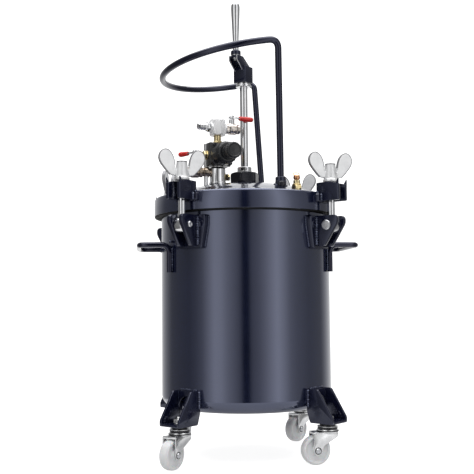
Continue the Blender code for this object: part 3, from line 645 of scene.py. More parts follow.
def clevis_welds():
    t = CLAMP_HALF + EAR
    edge = t + 13.6
    wall = math.sqrt(TANK_R ** 2 - edge ** 2) - CLAMP_R
    return join(*beads([(-17.4, t + 1.2, CLEVIS_Z0 + 1.5), (-17.4, t + 1.2, CLEVIS_Z1 - 1.5)], 3),
                *beads([(wall + 1.4, edge - 6.6, CLEVIS_Z0 - 1), (wall, edge, CLEVIS_Z1 - 14),
                        (wall, edge, CLEVIS_Z1)], 1.5))


def pin_mesh():
    half = CLAMP_HALF + EAR
    tail = lifted([(0, -1.3), (1.7, -1.3), (2.1, -2.7), (3.9, -2.6), (PIN_R, -1.5)], -half)
    head = lifted([(PIN_R, 0.3), (7.9, 0.3), (7.9, 2.6), (6.6, 3.4), (0, 3.5)], half)
    return moved(turned(tail + head, 0.5), turn(90, "X"))


def thread(r, z0, z1, pitch, depth, n=40):
    """Turned bar with a helical thread over its whole length, tapered at both ends."""
    rows = int((z1 - z0) / pitch * 8)
    verts = []
    for k in range(rows + 1):
        z = z0 + (z1 - z0) * k / rows
        ease = max(0, min(1, (z - z0) / 2, (z1 - z) / 1.5))
        taper = 0.8 * max(0, 1 - (z1 - z) / 1.2)
        for i in range(n):
            groove = 1 - abs(2 * ((z / pitch - i / n) % 1) - 1)
            reach = r - depth * groove * ease - taper
            a = 2 * math.pi * i / n
            verts.append((reach * math.cos(a), reach * math.sin(a), z))
    return skin(verts, n)


def bolt_mesh(pin_z):
    """Origin on the pin: forged eye, necked shank and threaded end."""
    eye = moved(band(PIN_R + 0.4, 12, -7.5, 7.5, 2.4, 64, 5), turn(90, "X"))
    shank_top = LUG_Z0 - pin_z + 4
    neck = turned([(0, 7.5), (8.2, 7.5), (8, 11), (BOLT_R, 18), (BOLT_R, shank_top),
                   (0, shank_top)], 2, steps=5)
    return join(eye, neck, thread(BOLT_R, LUG_Z0 - pin_z + 3, BOLT_TOP - pin_z, 1.75, 0.6))


def leaf(sign):
    """One wing of a wing nut as an outline in x and z."""
    outline = ((4, 6.6), (13.5, 6.8), (19, 8), (24.5, 13.4), (34.4, 25.8), (37.2, 33),
               (36.2, 40.2), (32, 45.8), (26.2, 47.8), (20.4, 45.6), (15.4, 39.5), (12.4, 31),
               (11.2, 23), (10.8, 15.5), (4, 14.5))
    return [(sign * x, z) for x, z in outline]


def wing_nut_mesh():
    """Cast in one: hub and wings fused, then rounded where they meet."""
    parts = [turned([(BOLT_R + 0.6, 0), (12, 0), (12, 3.6), (10.8, 5.4), (9.2, 20), (7.9, 29),
                     (BOLT_R + 0.6, 29)], 1.2, 64, True)]
    for sign in (-1, 1):
        parts.append(prism(rounded(leaf(sign), 3, 3, True), -2.7, 2.7))
    host = add("wing_cast", join(*parts))
    cutter = add("wing_bore", rod(BOLT_R + 0.6, -5, 34, 48, 0))
    fuse = host.modifiers.new("fuse", "REMESH")
    fuse.mode = "VOXEL"
    fuse.voxel_size = 0.55 * MM
    relax = host.modifiers.new("relax", "SMOOTH")
    relax.factor = 0.6
    relax.iterations = 7
    drill = host.modifiers.new("drill", "BOOLEAN")
    drill.operation = "DIFFERENCE"
    drill.object = cutter
    bpy.context.view_layer.update()
    graph = bpy.context.evaluated_depsgraph_get()
    mesh = bpy.data.meshes.new_from_object(host.evaluated_get(graph))
    bpy.data.objects.remove(host, do_unlink=True)
    bpy.data.objects.remove(cutter, do_unlink=True)
    return mesh


def wing_shade_hoop(sign, bite=0.9, proud=0.2, half=2.75):
    """A dark hoop round one wing, thin with a square section: painted shade on the wing's edge."""
    path = [Vector((x, 0, z)) for x, z in rounded(leaf(sign)[2:-2], 3, 3)]
    last = len(path) - 1
    verts = []
    for i, point in enumerate(path):
        along = path[min(i + 1, last)] - path[max(i - 1, 0)]
        out = sign * Vector((along.z, 0, -along.x)).normalized()
        for reach, y in ((proud, -half), (proud, half), (-bite, half), (-bite, -half)):
            verts.append(point + out * reach + Vector((0, y, 0)))
    return skin(verts, 4)


def wing_shade_hoops():
    # The dark ring on the hub's top is painted shade.
    lip = turned([(BOLT_R + 0.7, 27.8), (8.4, 27.8), (8.2, 29.4), (BOLT_R + 0.7, 29.4)], 0.3, 48,
                 True)
    return join(wing_shade_hoop(-1), wing_shade_hoop(1), lip)


def make_clamps():
    bolt = bolt_mesh(spot("bolt_swing_fl").z)
    rows = (("lug_plates_", lug_mesh(), "navy_bracket", "lid", "lid_lug_", "foot"),
            ("lug_welds_", lug_welds(), "weld", "lid", "", "foot"),
            ("clevis_plates_", clevis_mesh(), "navy_bracket", "tank", "clamp_clevis_", "foot"),
            ("clevis_welds_", clevis_welds(), "weld", "tank", "", "foot"),
            ("clevis_rivet_", pin_mesh(), "zinc_pin", "tank", "clevis_pin_", "hinge"),
            ("eye_bolt_", bolt, "bolt_chrome", "bolt_", "swing_bolt_", "hinge"),
            ("wing_casting_", wing_nut_mesh(), "cast_nut", "nut_", "wing_nut_", "nut"),
            # Dark hoops round the wings and the hub's top: painted shade.
            ("wing_shade_hoops_", wing_shade_hoops(), "cast_edge_shade", "nut_", "", "nut"))
    for tag in CORNERS:
        hinge = spot("bolt_swing_" + tag)
        deg = heading(hinge)
        copies(tag, {"foot": ((hinge.x, hinge.y, 0), deg), "hinge": (hinge, deg),
                     "nut": ((hinge.x, hinge.y, NUT_Z), WING_TURN[tag])}, rows)


# ---- side handles, legs and casters ----
def side_handle_path():
    reach = TANK_R + 0.3 + BAR_R
    x_wall = reach * math.cos(math.radians(BAR_SPREAD))
    y_wall = reach * math.sin(math.radians(BAR_SPREAD))
    half = [(x_wall, y_wall, BAR_Z0), (x_wall, y_wall, BAR_Z1), (BAR_X, y_wall - 3, BAR_Z1)]
    return [(x, -y, z) for x, y, z in half] + half[::-1]


def make_side_handles():
    path = side_handle_path()
    x, y = path[0][0], path[0][1]
    out_dir = Vector((x, y, 0)).normalized()
    across = Vector((-out_dir.y, out_dir.x, 0))
    runs = []
    for side in (-1, 1):
        base = Vector((x, y, 0)) - out_dir * 3.4 + across * side * 3.6
        run = bead([base + Vector((0, 0, BAR_Z0 + 2)), base + Vector((0, 0, BAR_Z1 - 6))], 1.9)
        runs.append(run)
        runs.append(moved(run.copy(), Matrix.Diagonal((1, -1, 1, 1))))
    for sign in (-1, 1):
        tack = turned([(0, -2.4), (3.6, -2.4), (3.6, 0.4), (0, 2.8)], 1.6, 24, steps=5)
        place = Vector((x, sign * -y, BAR_Z1 + 5.4)) - out_dir * 2.5
        runs.append(moved(tack, shift(*place)))
    bar = sweep(rounded(path, 14, 10), BAR_R, 20)
    rows = (("side_bar_", bar, "navy_bar", "tank", "side_handle_", "wall"),
            ("side_bar_welds_", join(*runs), "weld", "tank", "", "wall"))
    for tag, spin in (("right", 0), ("left", 180)):
        copies(tag, {"wall": ((0, 0, 0), spin)}, rows)


def leg_mesh():
    """Two flanges, an arched web and a floor plate, open outward."""
    w = LEG_HALF
    x0 = TANK_R - 4
    side = [(x0, LEG_Z0 + 17), (LEG_R0, LEG_Z0), (LEG_R1, LEG_Z0), (LEG_R1, LEG_Z0 + 9),
            (156, LEG_Z1), (x0, LEG_Z1)]
    side = rounded(side, 2.4, 4, True)
    arch = [(-w + 1, LEG_Z0 + 0.4), (-w + 4, LEG_Z0 + 0.4)] + arc(0, 88, w - 4, 180, 0, 16)
    arch += [(w - 4, LEG_Z0 + 0.4), (w - 1, LEG_Z0 + 0.4), (w - 1, LEG_Z1 - 0.4),
             (-w + 1, LEG_Z1 - 0.4)]
    floor = block(LEG_R0 + 0.3, LEG_R1 - 0.3, -w + 0.3, w - 0.3, LEG_Z0, LEG_Z0 + 4, 2, 0.7)
    return join(slab(arch, LEG_R0, LEG_R0 + 4, 0.6), *cheeks(side, w - 4, w, 0.8), floor)


def leg_welds():
    w = LEG_HALF
    wall = math.sqrt(TANK_R ** 2 - w ** 2)
    top = bead([(wall + 1.6, -w + 3, LEG_Z1 + 0.4), (TANK_R + 1, 0, LEG_Z1 + 0.8),
                (wall + 1.6, w - 3, LEG_Z1 + 0.4)], 1.7)
    return join(*beads([(wall + 0.8, w + 0.8, 86), (wall + 0.8, w + 0.8, 113)], 2.3, 3.4), top)


def fork_mesh():
    """Origin on the swivel line at floor level, wheel toward +X."""
    dish = turned([(0, 46.4), (12.6, 46.4), (15.4, 48), (16.4, 51), (16.4, 53.4), (14.4, 54.4),
                   (0, 54.4)], 0.9, 64)
    cap = turned([(0, 56.9), (15.4, 56.9), (16, 57.6), (15.6, 58.4), (11, 59), (6, 59.4),
                  (6, LEG_Z0 + 13.4), (5.2, LEG_Z0 + 14), (0, LEG_Z0 + 14)], 0.4, 64)
    near = WHEEL_HALF + 1.6
    far = near + 2.4
    front = TRAIL + 6.4
    cheek = [(-13, 49.6), (front, 49.6), (front, WHEEL_R + 4)]
    cheek += arc(TRAIL, WHEEL_R, 6.5, 12, -168, 14) + [(TRAIL - 9, WHEEL_R + 7), (-12, 42.5)]
    cheek = rounded(cheek, 1.5, 3, True)
    crown = rounded([(-far, 46.4), (-far, 50), (far, 50), (far, 46.4)], 1.4, 4, True)
    return join(dish, cap, slab(crown, -13, front, 0.9), *cheeks(cheek, near, far, 0.8),
                nut(17, LEG_Z0 + 4.3, LEG_Z0 + 11, 30),
                rod(10.6, LEG_Z0 + 4.1, LEG_Z0 + 5.3, 40, 0.3))


def on_axle(mesh):
    return moved(mesh, shift(TRAIL, 0, WHEEL_R) @ turn(90, "X"))


def axle_mesh():
    head = lifted([(3.2, 0), (4.3, 0), (4.3, 0.9), (3.2, 2.2), (1.6, 2.4), (1.2, 1.6), (0, 1.6)],
                  AXLE_HALF)
    return on_axle(turned([(r, -z) for r, z in reversed(head)] + head, 0.3, 32))


def axle_washers():
    return on_axle(join(*[band(4.1, 5.4, z0, z0 + 0.7, 0.2, 40, 3)
                          for z0 in (AXLE_HALF - 0.2, -AXLE_HALF - 0.5)]))


def wheel_mesh():
    half = lifted([(3.6, 1), (6.6, 1), (7.4, 0.2), (8.6, -2.4), (16.2, -2.4), (17.4, -0.6),
                   (18.8, -0.1), (20.6, -0.7), (22, -2.6), (WHEEL_R, -5.6)], WHEEL_HALF)
    pts = half + [(r, -z) for r, z in reversed(half)]
    return moved(turned(pts, 0.9, 96, True), turn(90, "X"))


def seal_mesh():
    boot_top = LEG_Z0 - 0.4
    boot = [(6.2, 59.2), (12.4, 58.6), (11.4, boot_top), (6.2, boot_top)]
    return join(turned([(13, 54.3), (15.6, 54.6), (15.6, 56.8), (13, 57)], 0.4, 64, True),
                band(15, 17.4, 50.2, 51.8, 0.4, 64, 3), turned(boot, 0.6, 64, True))


def make_legs():
    rows = (("leg_channel_", leg_mesh(), "navy_bracket", "tank", "leg_bracket_", "wall"),
            ("leg_welds_", leg_welds(), "weld", "tank", "", "wall"),
            ("fork_pressing_", fork_mesh(), "caster_chrome", "caster_", "caster_fork_", "foot"),
            ("axle_bolt_", axle_mesh(), "zinc_pin", "caster_", "", "foot"),
            ("swivel_seal_", seal_mesh(), "black_plastic", "caster_", "", "foot"),
            ("axle_washers_", axle_washers(), "black_plastic", "caster_", "", "foot"),
            ("wheel_tyre_", wheel_mesh(), "grey_nylon", "wheel_", "caster_wheel_", "hub"))
    for tag in CORNERS:
        swivel = spot("caster_swivel_" + tag)
        hub = spot("wheel_roll_" + tag)
        spin = heading(hub - swivel)
        copies(tag, {"wall": ((0, 0, 0), heading(swivel)), "hub": (hub, spin),
                     "foot": ((swivel.x, swivel.y, 0), spin)}, rows)


# ---- carrying loop ----
def ring_path():
    """Two legs joined by a level arc that dips to one side."""
    start = math.acos(RING_X / RING_R)

    def arc_point(a):
        x = RING_R * math.cos(a)
        return Vector((x, -RING_R * math.sin(a), RING_Z + RING_DIP * (x - RING_X)))

    corner = arc_point(start)
    base = Vector((FOOT_X, -FOOT_Y, 441))
    below = corner + (base - corner).normalized() * RING_BEND
    after = arc_point(start + RING_BEND / RING_R)
    half = [base, base.lerp(below, 0.35), base.lerp(below, 0.7)]
    for k in range(11):
        s = k / 10
        half.append(below * (1 - s) ** 2 + corner * 2 * s * (1 - s) + after * s ** 2)
    n = 72
    first = start + 1.35 * RING_BEND / RING_R
    span = 2 * math.pi - 2 * first
    bend = [arc_point(first + span * k / n) for k in range(n + 1)]
    mirror = [Vector((p.x, -p.y, p.z)) for p in reversed(half)]
    return half + bend + mirror


def foot_mesh():
    collar = turned([(0, -6), (8.5, -6), (8.5, 12.2), (7.7, 13), (RING_TUBE + 0.3, 13),
                     (RING_TUBE + 0.3, 9), (0, 9)], 0.9, steps=4)
    return join(block(-8, 8, -7, 9.5, -10, 7, 2.5, 1), collar)


def foot_bolt():
    head = turned([(0, 0), (5.4, 0), (5.2, 1.8), (3.4, 3), (0, 3.2)], 0.7, 36, steps=4)
    return moved(join(head, rod(6.6, -0.6, 0.6, 36, 0.2)), shift(0, -7, 1) @ turn(90, "X"))


def foot_weld(foot_z):
    """A run round the foot that follows the dome under it."""
    run = []
    for k in range(41):
        a = 2 * math.pi * k / 40
        x, y = 9.6 * math.cos(a), 8.4 * math.sin(a) + 1
        run.append((x, y, dome_z(math.hypot(FOOT_X + x, FOOT_Y - y)) - foot_z + 0.3))
    return bead(run, 1.5)


def make_ring():
    piece("loop_bar", sweep(ring_path(), RING_TUBE, 24), "navy_bar", "lid", "ring_handle")
    foot_z = dome_z(math.hypot(FOOT_X, FOOT_Y))
    rows = (("loop_foot_", foot_mesh(), "navy_bracket", "lid", "handle_foot_", "foot"),
            ("loop_foot_bolt_", foot_bolt(), "black_metal", "lid", "", "foot"),
            ("loop_foot_weld_", foot_weld(foot_z), "weld", "lid", "", "foot"))
    for tag, sign, spin in (("front", -1, 0), ("rear", 1, 180)):
        copies(tag, {"foot": ((FOOT_X, sign * FOOT_Y, foot_z), spin)}, rows)


# ---- agitator ----
def make_agitator():
    gland = turned([(SHAFT_BORE, LID_TOP + 0.3), (21.8, LID_TOP + 0.3), (24.3, LID_TOP + 3.2),
                    (24.3, 462.6), (23.2, 464.6), (20, 466), (11.6, 466.2), (10.6, 464.8),
                    (SHAFT_BORE, 464.8)], 0.5, 144, True, sides=6, flats=43.6, phase=8)
    piece("gland_hex", gland, "black_metal", "lid", "gland_nut")
    z0 = 466.8
    collar = band(SHAFT_R + 0.2, 12.3, z0, z0 + 8.5, 1, 72)
    piece("shaft_ring", collar, "fitting_chrome", "agitator", "shaft_collar")
    screw = turned([(0, 9), (2.1, 9), (2.1, 12.5), (1.3, 12.6), (1.2, 11.4), (0, 11.4)], 0.2, 24)
    screw = moved(screw, shift(0, 0, z0 + 4.3) @ turn(-85, "Z") @ turn(90, "Y"))
    piece("shaft_ring_screw", screw, "black_metal", "agitator")
    bar = [(0, SHAFT_Z0), (SHAFT_R, SHAFT_Z0)]
    bar += lifted([(SHAFT_R, 0), (13.1, 0), (13.1, 2.8), (11.6, 3.4), (11.6, 6.5), (SHAFT_R, 6.5),
                   (SHAFT_R, 20.6), (0, 20.6)], CRANK_Z)
    piece("stirrer_shaft", turned(bar, 0.6, 64), "fitting_chrome", "agitator", "agitator_shaft")
    piece("stirrer_paddle", paddle_mesh(), "fitting_chrome", "agitator", "impeller")
    grip = spot("grip_turn")
    aim = heading(grip)
    piece("crank_casting", crank_mesh(), "navy_crank", "agitator", "crank_arm", spin=aim)
    # Pale zinc strips on the channel's edges: painted highlights.
    piece("crank_channel_highlights", crank_edge_highlights(), "zinc_pin", "agitator", spin=aim)
    place = (grip.x, grip.y, GRIP_Z)
    piece("crank_handle", grip_mesh(), "fitting_chrome", "grip", "crank_grip", at=place)
    base = turned([(3.5, 1), (8.3, 1), (8.5, 2), (8.5, 7.6), (7, 8.8), (5, 9.2), (3.5, 9.2)], 0.6,
                  48, True)
    piece("crank_handle_base", base, "navy_bracket", "grip", at=place)
    locknut = join(rod(6.3, -5.4, -4.2, 40, 0.4), nut(7.6, -8.6, -5.2, 10))
    piece("crank_handle_locknut", locknut, "fitting_chrome", "grip", at=place)


def paddle_mesh():
    parts = [band(SHAFT_R + 0.1, 13, PADDLE_Z - 11, PADDLE_Z + 11, 1.2, 48)]
    outline = rounded([(10, -10), (24, -13), (62, -13), (62, 13), (24, 13), (10, 10)], 5, 5, True)
    for k in range(3):
        blade = moved(plate(outline, -1.6, 1.6, 0.6), turn(35, "X"))
        parts.append(moved(blade, shift(0, 0, PADDLE_Z) @ turn(120 * k + 15, "Z")))
    return join(*parts)


def crank_mesh():
    """Grip toward +X: a clamp block under a slanted channel."""
    z0 = CRANK_Z0
    top = CRANK_Z1
    end = GRIP_OFF + 8
    rib = [(4, z0 + 20), (13, z0 + 20), (end, top - 8), (end, top), (GRIP_OFF - 9, top),
           (-8, z0 + 28)]
    web = [(1, z0 + 24), (6, z0 + 24), (GRIP_OFF - 2, top - 4), (end - 0.4, top - 4),
           (end - 0.4, top - 0.3), (GRIP_OFF - 8.6, top - 0.3), (-7, z0 + 27.6)]
    return join(block(-11, 13, -12.6, 12.6, z0, z0 + 28, 2.5, 1),
                *cheeks(rounded(rib, 1.4, 4, True), 6.6, 9, 0.6),
                prism(rounded(web, 1, 3, True), -7, 7, 0.4),
                moved(rod(3, top - 2, top + 27, 24), shift(GRIP_OFF, 0, 0)))


def crank_edge_highlights():
    """Pale strips along the channel's two sides: painted highlights where the edges catch the
    light.
    """
    z0 = CRANK_Z0
    top = CRANK_Z1
    end = GRIP_OFF + 8
    strip = [(13.4, z0 + 20.2), (14, z0 + 19.7), (end + 0.5, top - 8.5), (end + 0.5, top - 0.8),
             (end - 0.3, top - 0.8), (end - 0.3, top - 7.9)]
    return join(*cheeks(strip, 6.9, 8.7, 0.15))


def grip_mesh():
    pts = [(3.4, 0), (7.2, 0), (7.6, 0.6), (7.6, 1.4), (3.6, 1.6), (3.6, 9), (5.2, 9.4), (5.2, 26),
           (6, 46), (7.2, 70), (7.6, 83), (7.2, 87.6), (6, 90), (4, 90.5), (0, 90.5), (0, 30),
           (3.4, 30)]
    return lathe(rounded(pts, 0.9), 64, loop=True)


# ---- air fittings ----
def upright(mesh, z, deg):
    """Turn a piece made along +Z to lie along that heading, at height z."""
    return moved(mesh, shift(0, 0, z) @ turn(deg, "Z") @ turn(90, "Y"))


def make_manifold(at):
    foot = dome_z(math.hypot(at[0], at[1])) - 1.5
    column = turned([(0, foot), (13, foot), (13, 466.4), (11.5, 469), (0, 469)], 0.8, 72, steps=4)
    collar = turned(rect(0, 14.2, foot, foot + 3.4), 0.7, 72, steps=4)
    pipe = moved(rod(3.6, foot - 2, PORT_Z - 2, 32, 0.6), shift(-19.3, -0.7, 0))
    piece("manifold_column", join(column, collar, pipe), "fitting_chrome", "lid", "manifold",
          at=at)
    port = turned([(0, 9), (7, 9), (7, 14), (8.6, 14.8), (8.6, 22), (7, 22.8), (7, PORT_L),
                   (0, PORT_L)], 0.4)
    piece("side_port_nipple", upright(port, PORT_Z, 180), "aged_brass", "lid", at=at)
    plug = join(nut(10.4, 11, 20, 30), rod(4.2, 9, 14, 32))
    piece("column_plug", upright(plug, 453, 0), "brass", "lid", at=at)


def valve_barrel(x0, flats):
    """Ball valve along +Z: hex collar, swollen body, turned mouth."""
    body = [(0, 0), (8, 0), (8, 4.6), (9.4, 6.8), (9.5, 17.6), (8, 19.8), (8, 24.4), (7, 25.8),
            (4, 25.8), (3.6, 24.8), (3.6, 20), (0, 20)]
    low = flats * 0.5
    tip = flats * 0.575
    collar = [(0, 0.1), (low, 0.1), (tip, 0.9), (tip, 4.4), (low, 5.2), (0, 5.2)]
    return join(turned(lifted(body, x0), 0.7, 64),
                lathe(lifted(collar, x0), 96, sides=6, flats=flats, phase=12))


def lever_parts(name, body, node, pivot, reach, spin):
    """Plated strip with a dipped sleeve, held by a dome nut."""
    at = (pivot.x, pivot.y, pivot.z - 0.7)
    strip = [(-5, -4), (5, -4.8), (16, -3), (20, -3), (20, 3), (16, 3), (5, 4.8), (-5, 4)]
    strip = rounded(strip, 1.6, 4, True)
    sleeve = turned([(0, 13.6), (3.1, 13.6), (3.7, 15), (4.4, reach - 6), (4.2, reach - 2),
                     (2.8, reach), (0, reach)], 1, 40, steps=4)
    sleeve = moved(sleeve, shift(0, 0, 1.2) @ turn(90, "Y") @ Matrix.Diagonal((0.98, 1.05, 1, 1)))
    hub = join(plate(strip, 0, 2, 0.4), nut(7.6, 1.9, 4.6, 10, 0.5), rod(2.3, 0.6, 5.2, 24, 0.5))
    piece(name + "_strip", hub, "fitting_chrome", body, at=at, spin=spin)
    piece(name + "_sleeve", sleeve, "red_vinyl", body, node, at=at, spin=spin)


def make_outlet(at):
    x0 = PORT_L + 0.3
    piece("outlet_barrel", upright(valve_barrel(x0, 16), PORT_Z, 180), "aged_brass", "lid",
          "outlet_valve_body", at=at)
    post = join(rod(4.6, PORT_Z + 4, PORT_Z + 22, 40), rod(2.3, PORT_Z + 16, PORT_Z + 34, 32),
                nut(8.6, PORT_Z + 21.6, PORT_Z + 25, 20, 0.6))
    post = moved(post, shift(-x0 - 12.5, 0, 0))
    piece("outlet_stem", post, "aged_brass", "lid", at=at)
    lever_parts("outlet_lever", "outlet_lever", "outlet_valve_lever", spot("outlet_lever_turn"),
                34, 135)


def make_regulator(at, deg):
    z0 = REG_FOOT
    body = join(block(-13, REG_SPLIT, -19.5, 19.5, z0 + 1, 509, 1.2, 0.8), rod(9, z0, z0 + 6))
    piece("regulator_casting", body, "zinc_cast", "lid", "regulator_body", at=at, spin=deg)
    case = block(REG_SPLIT, 11, -19.2, 19.2, z0 + 1.3, 508.7, 2.2, 1.2)
    piece("regulator_case", case, "black_plastic", "lid", at=at, spin=deg)
    plugs = []
    for end, chamfer, tilt in ((25.5, 1, 90), (21.5, 0.6, -90)):
        plug = join(nut(12.6, 19.2, end, 0, chamfer), rod(7.6, 18, 20.4, 48, 0.3))
        plugs.append(moved(plug, shift(-2, 0, REG_Z) @ turn(tilt, "X")))
    piece("regulator_plugs", join(*plugs), "brass", "lid", at=at, spin=deg)
    piece("regulator_hood", bonnet_mesh(), "black_plastic", "lid", "regulator_bonnet", at=at,
          spin=deg)
    head = turned([(0, 0), (2.9, 0), (2.8, 1.5), (1.4, 1.9), (1.3, 0.9), (0, 0.9)], 0.25, 24)
    screws = [moved(head.copy(), shift(HOOD_X + 6.9, y, REG_Z + z) @ turn(90, "Y"))
              for y in (-14.6, 14.6) for z in (-14.6, 14.6)]
    piece("regulator_hood_screws", join(*screws), "black_metal", "lid", at=at, spin=deg)
    pts = [(5.3, 0), (11.2, 0), (12.6, 1.3), (13.4, 14.4), (12.9, 16.4), (11.4, 17.2), (10.2, 17),
           (9.4, 16.2), (0, 16.2), (0, 13), (5.3, 13)]
    knob = lathe(rounded(lifted(pts, KNOB_X), 0.5), 144, True, flute=0.45, flutes=24)
    piece("regulator_handwheel", moved(knob, turn(90, "Y")), "black_plastic", "regulator_knob",
          "regulator_knob", at=(at[0], at[1], REG_Z), spin=deg)


def bonnet_mesh():
    """Square flange, round housing and a short neck under the handwheel."""
    h = 18.5
    c = h - 4
    pts = [(-h, -c), (-c, -h), (c, -h), (h, -c), (h, c), (c, h), (-c, h), (-h, c)]
    flange = plate(rounded(pts, 1, 3, True), HOOD_X, HOOD_X + 7, 0.9)
    skirt = [(0, 5), (19.8, 5), (18.6, 20), (17.4, 26.6), (15.5, 29), (10.4, 29), (9.6, 34),
             (5, 34), (5, 46), (0, 46)]
    skirt = turned(lifted(skirt, HOOD_X), 1.2, 144, steps=4, sides=4, flats=37, phase=45)
    ribs = []
    for k in range(12):
        rib = block(HOOD_X + 6.5, HOOD_X + 27, -0.8, 0.8, 15.6, 18, 0.4, 0.4)
        ribs.append(moved(rib, turn(30 * k + 15, "X")))
    hood = join(moved(flange, turn(90, "Y")), moved(skirt, turn(90, "Y")), *ribs)
    return moved(hood, shift(0, 0, REG_Z))


def make_tee(at, run):
    octagon = lathe([(0, 522.4), (12.4, 522.4), (14.2, 524), (14.2, 547), (12.4, 548.6),
                     (0, 548.6)], 160, sides=8, flats=26)
    arm = [(0, -14.5), (8, -14.5), (9.1, -13.5), (9.1, 13.5), (8, 14.5), (0, 14.5)]
    arm = upright(lathe(arm, 96, sides=8, flats=16.8), TEE_Z, 0)
    piece("tee_block", join(octagon, arm, rod(6.4, 548, 549.6)), "satin_plate", "lid", "air_tee",
          at=at, spin=run)
    neck = join(nut(13.4, 509.3, 513.6, 10), rod(5.6, 509.3, 524, 48, 0.4))
    rings = [rod(6.4, z, z + 1.3) for z in (515, 517.6, 520.2)]
    piece("tee_nipple", join(neck, *rings), "brass", "lid", at=at, spin=run)
    tail = [(0, 0), (5.8, 0), (5.8, 5.6), (4.6, 7), (5, 8.2)]
    for k in range(3):
        tail += lifted([(6.1, 0.2), (6.1, 0.6), (4.7, 3.9)], 8.6 + 4.2 * k)
    tail += [(4.2, 21), (2.8, 21), (2.6, 20), (2.6, 4), (0, 4)]
    barb = join(turned(lifted(tail, TEE_END), 0.25, 64), nut(14.8, TEE_END, TEE_END + 5, 5, 0.8))
    piece("hose_tail", upright(barb, TEE_Z, 180), "fitting_chrome", "lid", "hose_barb", at=at,
          spin=run)
    barrel = upright(valve_barrel(TEE_END, 15.2), TEE_Z, 0)
    piece("inlet_barrel", barrel, "nickel", "lid", "inlet_valve_body", at=at, spin=run)
    stem = join(rod(4.6, TEE_Z, 551.4, 40), rod(2.2, 548, 556.8, 32),
                nut(8.4, 549.6, 552.6, 15, 0.5))
    piece("inlet_stem", moved(stem, shift(TEE_END + 12, 0, 0)), "fitting_chrome", "lid", at=at,
          spin=run)
    lever_parts("inlet_lever", "inlet_lever", "inlet_valve_lever", spot("inlet_lever_turn"), 40,
                run)


def make_safety_valve():
    at = (*SAFETY_XY, 0)
    foot = dome_z(math.hypot(*SAFETY_XY)) - 1
    body = turned([(0, foot), (7, foot), (7, 425.4), (6.2, 426), (6.2, 432.4), (7, 433),
                   (7, 434.2), (5.4, 435.4), (5.4, 440.4), (1.6, 440.6), (1.6, 445), (0, 445)],
                  0.4, 64)
    rings = [rod(5.9, z, z + 0.8, 48, 0.3) for z in (436.4, 438.4)]
    piece("relief_body", join(body, nut(15, 426, 432.2, 10), *rings), "brass", "lid",
          "safety_valve", at=at)
    cap = lathe(rounded([(2, 441), (4.6, 441.4), (5.7, 444.4), (4.9, 447.6), (2.6, 449.2),
                         (0, 449.5), (0, 445.6), (2, 445.6)], 0.8, 4), 48, loop=True)
    piece("relief_cap", cap, "copper_ball", "relief_ring", "safety_valve_ring", at=at)
    loop = [(x, 0, z) for x, z in arc(0, 0, 5.3, -70, 250, 48)]
    pull = moved(sweep(loop, 0.75, 12), shift(0, 2.6, 450.4) @ turn(-55, "X"))
    piece("relief_pull_ring", pull, "brass", "relief_ring", at=at)


def make_air_set():
    centre = spot("regulator_turn")
    at = (centre.x, centre.y, 0)
    deg = heading(JOINT["regulator_turn"]["axis"])
    make_manifold(at)
    make_outlet(at)
    make_regulator(at, deg)
    make_tee(at, deg + 90)
    make_safety_valve()


# ---- stage: floor, light, camera ----
CAM_DISTANCE = 1.4
CAM_HEIGHT = 0.2494
CAM_LENS = 63.27
CAM_AROUND = -7.5
CAM_YAW = -0.56
CAM_PITCH = 4.41
CAM_ROLL = -0.52
# Brightness of the studio by direction round the pot, in degrees from the camera,
# positive to its right: two soft boxes, a dark gap between them and a pale backdrop.
STUDIO = ((-180, 0.75), (-150, 0.42), (-119, 0.13), (-81, 0.11), (-70, 0.17), (-60, 0.28),
          (-51, 0.56), (-42, 0.88), (-33, 0.82), (-24, 0.55), (-8, 0.24), (-3, 0.01), (3, 0.01),
          (8, 0.22), (17, 0.32), (25, 0.50), (34, 0.77), (42, 1.0), (51, 0.75), (61, 0.42),
          (71, 0.30), (92, 0.18), (120, 0.17), (142, 0.50), (180, 0.80))
STUDIO_POWER = 1.45
CEILING = 0.45
CEILING_LIGHT = 3.6
FLOOR_R = 460.0
FLOOR_GLOW = 0.88
FLOOR_BOUNCE = 0.40
FLOOR_TINT = 0.36
FLOOR_DEPTH = 20.0
SUN_SPREAD = 80.0


def camera_ray(tree):
    return add_node(tree, "LightPath", {}).outputs["Is Camera Ray"]


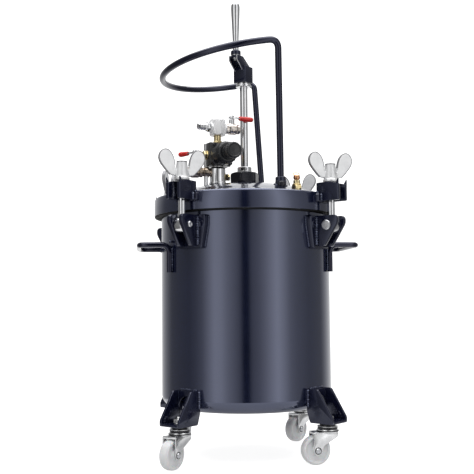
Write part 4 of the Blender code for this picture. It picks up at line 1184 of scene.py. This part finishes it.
def make_world():
    world = bpy.data.worlds.new("studio")
    world.use_nodes = True
    bpy.context.scene.world = world
    tree = world.node_tree
    sphere = add_node(tree, "TexCoord", {}).outputs["Generated"]
    rotate = add_node(tree, "VectorRotate", {
        "Vector": sphere, "Angle": math.radians(-CAM_AROUND)}, rotation_type="Z_AXIS")
    split = add_node(tree, "SeparateXYZ", {"Vector": rotate.outputs["Vector"]})
    back = maths(tree, "MULTIPLY", split.outputs["Y"], -1.0)
    around = maths(tree, "ARCTAN2", split.outputs["X"], back)
    share = spread(tree, around, -math.pi, math.pi)
    ramp = add_node(tree, "ValToRGB", {"Fac": share})
    stops = ramp.color_ramp.elements
    for k, (deg, value) in enumerate(STUDIO):
        place = (deg + 180) / 360
        stop = stops[k] if k < 2 else stops.new(place)
        stop.position = place
        stop.color = (value, value, value, 1.0)
    up = spread(tree, split.outputs["Z"], 0.5, 0.85)
    sky = blend_colour(tree, up, ramp.outputs["Color"], (CEILING, CEILING, CEILING))
    shown = blend_colour(tree, camera_ray(tree), sky, (1.0, 1.0, 1.0))
    wire(tree, tree.nodes["Background"], {"Color": shown, "Strength": STUDIO_POWER})


def make_floor():
    floor = add("floor", rod(FLOOR_R, -FLOOR_DEPTH, 0.0, 128))
    mat = bpy.data.materials.new("pale_floor")
    mat.use_nodes = True
    tree = mat.node_tree
    wire(tree, tree.nodes["Principled BSDF"], {
        "Base Color": (FLOOR_TINT, FLOOR_TINT, FLOOR_TINT, 1.0), "Roughness": 0.9,
        "Specular IOR Level": 0.1, "Emission Color": (1.0, 1.0, 1.0, 1.0),
        "Emission Strength": spread(tree, camera_ray(tree), 0.0, 1.0, FLOOR_BOUNCE, FLOOR_GLOW)})
    floor.data.materials.append(mat)


def make_ceiling_light():
    """A very wide soft light straight above, which whitens the floor."""
    light = bpy.data.lights.new("ceiling_light", "SUN")
    light.energy = CEILING_LIGHT
    light.angle = math.radians(SUN_SPREAD)
    add("ceiling_light", light)


def make_camera():
    yaw, pitch, roll = (math.radians(v) for v in (CAM_YAW, CAM_PITCH, CAM_ROLL))
    ahead = Vector((math.sin(yaw) * math.cos(pitch), math.cos(yaw) * math.cos(pitch),
                    math.sin(pitch)))
    right = ahead.cross(Vector((0, 0, 1))).normalized()
    up = right.cross(ahead)
    right, up = (right * math.cos(roll) + up * math.sin(roll),
                 up * math.cos(roll) - right * math.sin(roll))
    axes = Matrix((right, up, -ahead)).transposed().to_4x4()
    data = bpy.data.cameras.new("camera")
    data.sensor_width = 36.0
    data.lens = CAM_LENS
    data.clip_start = 0.05
    cam = add("camera", data)
    stand = Matrix.Translation((0, -CAM_DISTANCE, CAM_HEIGHT))
    cam.matrix_world = turn(CAM_AROUND, "Z") @ stand @ axes
    bpy.context.scene.camera = cam


def make_stage():
    make_camera()
    make_world()
    make_floor()
    make_ceiling_light()
    bpy.context.scene.view_settings.view_transform = "Standard"


make_stage()
make_shells()
make_clamps()
make_side_handles()
make_legs()
make_ring()
make_agitator()
make_air_set()
bpy.context.view_layer.update()
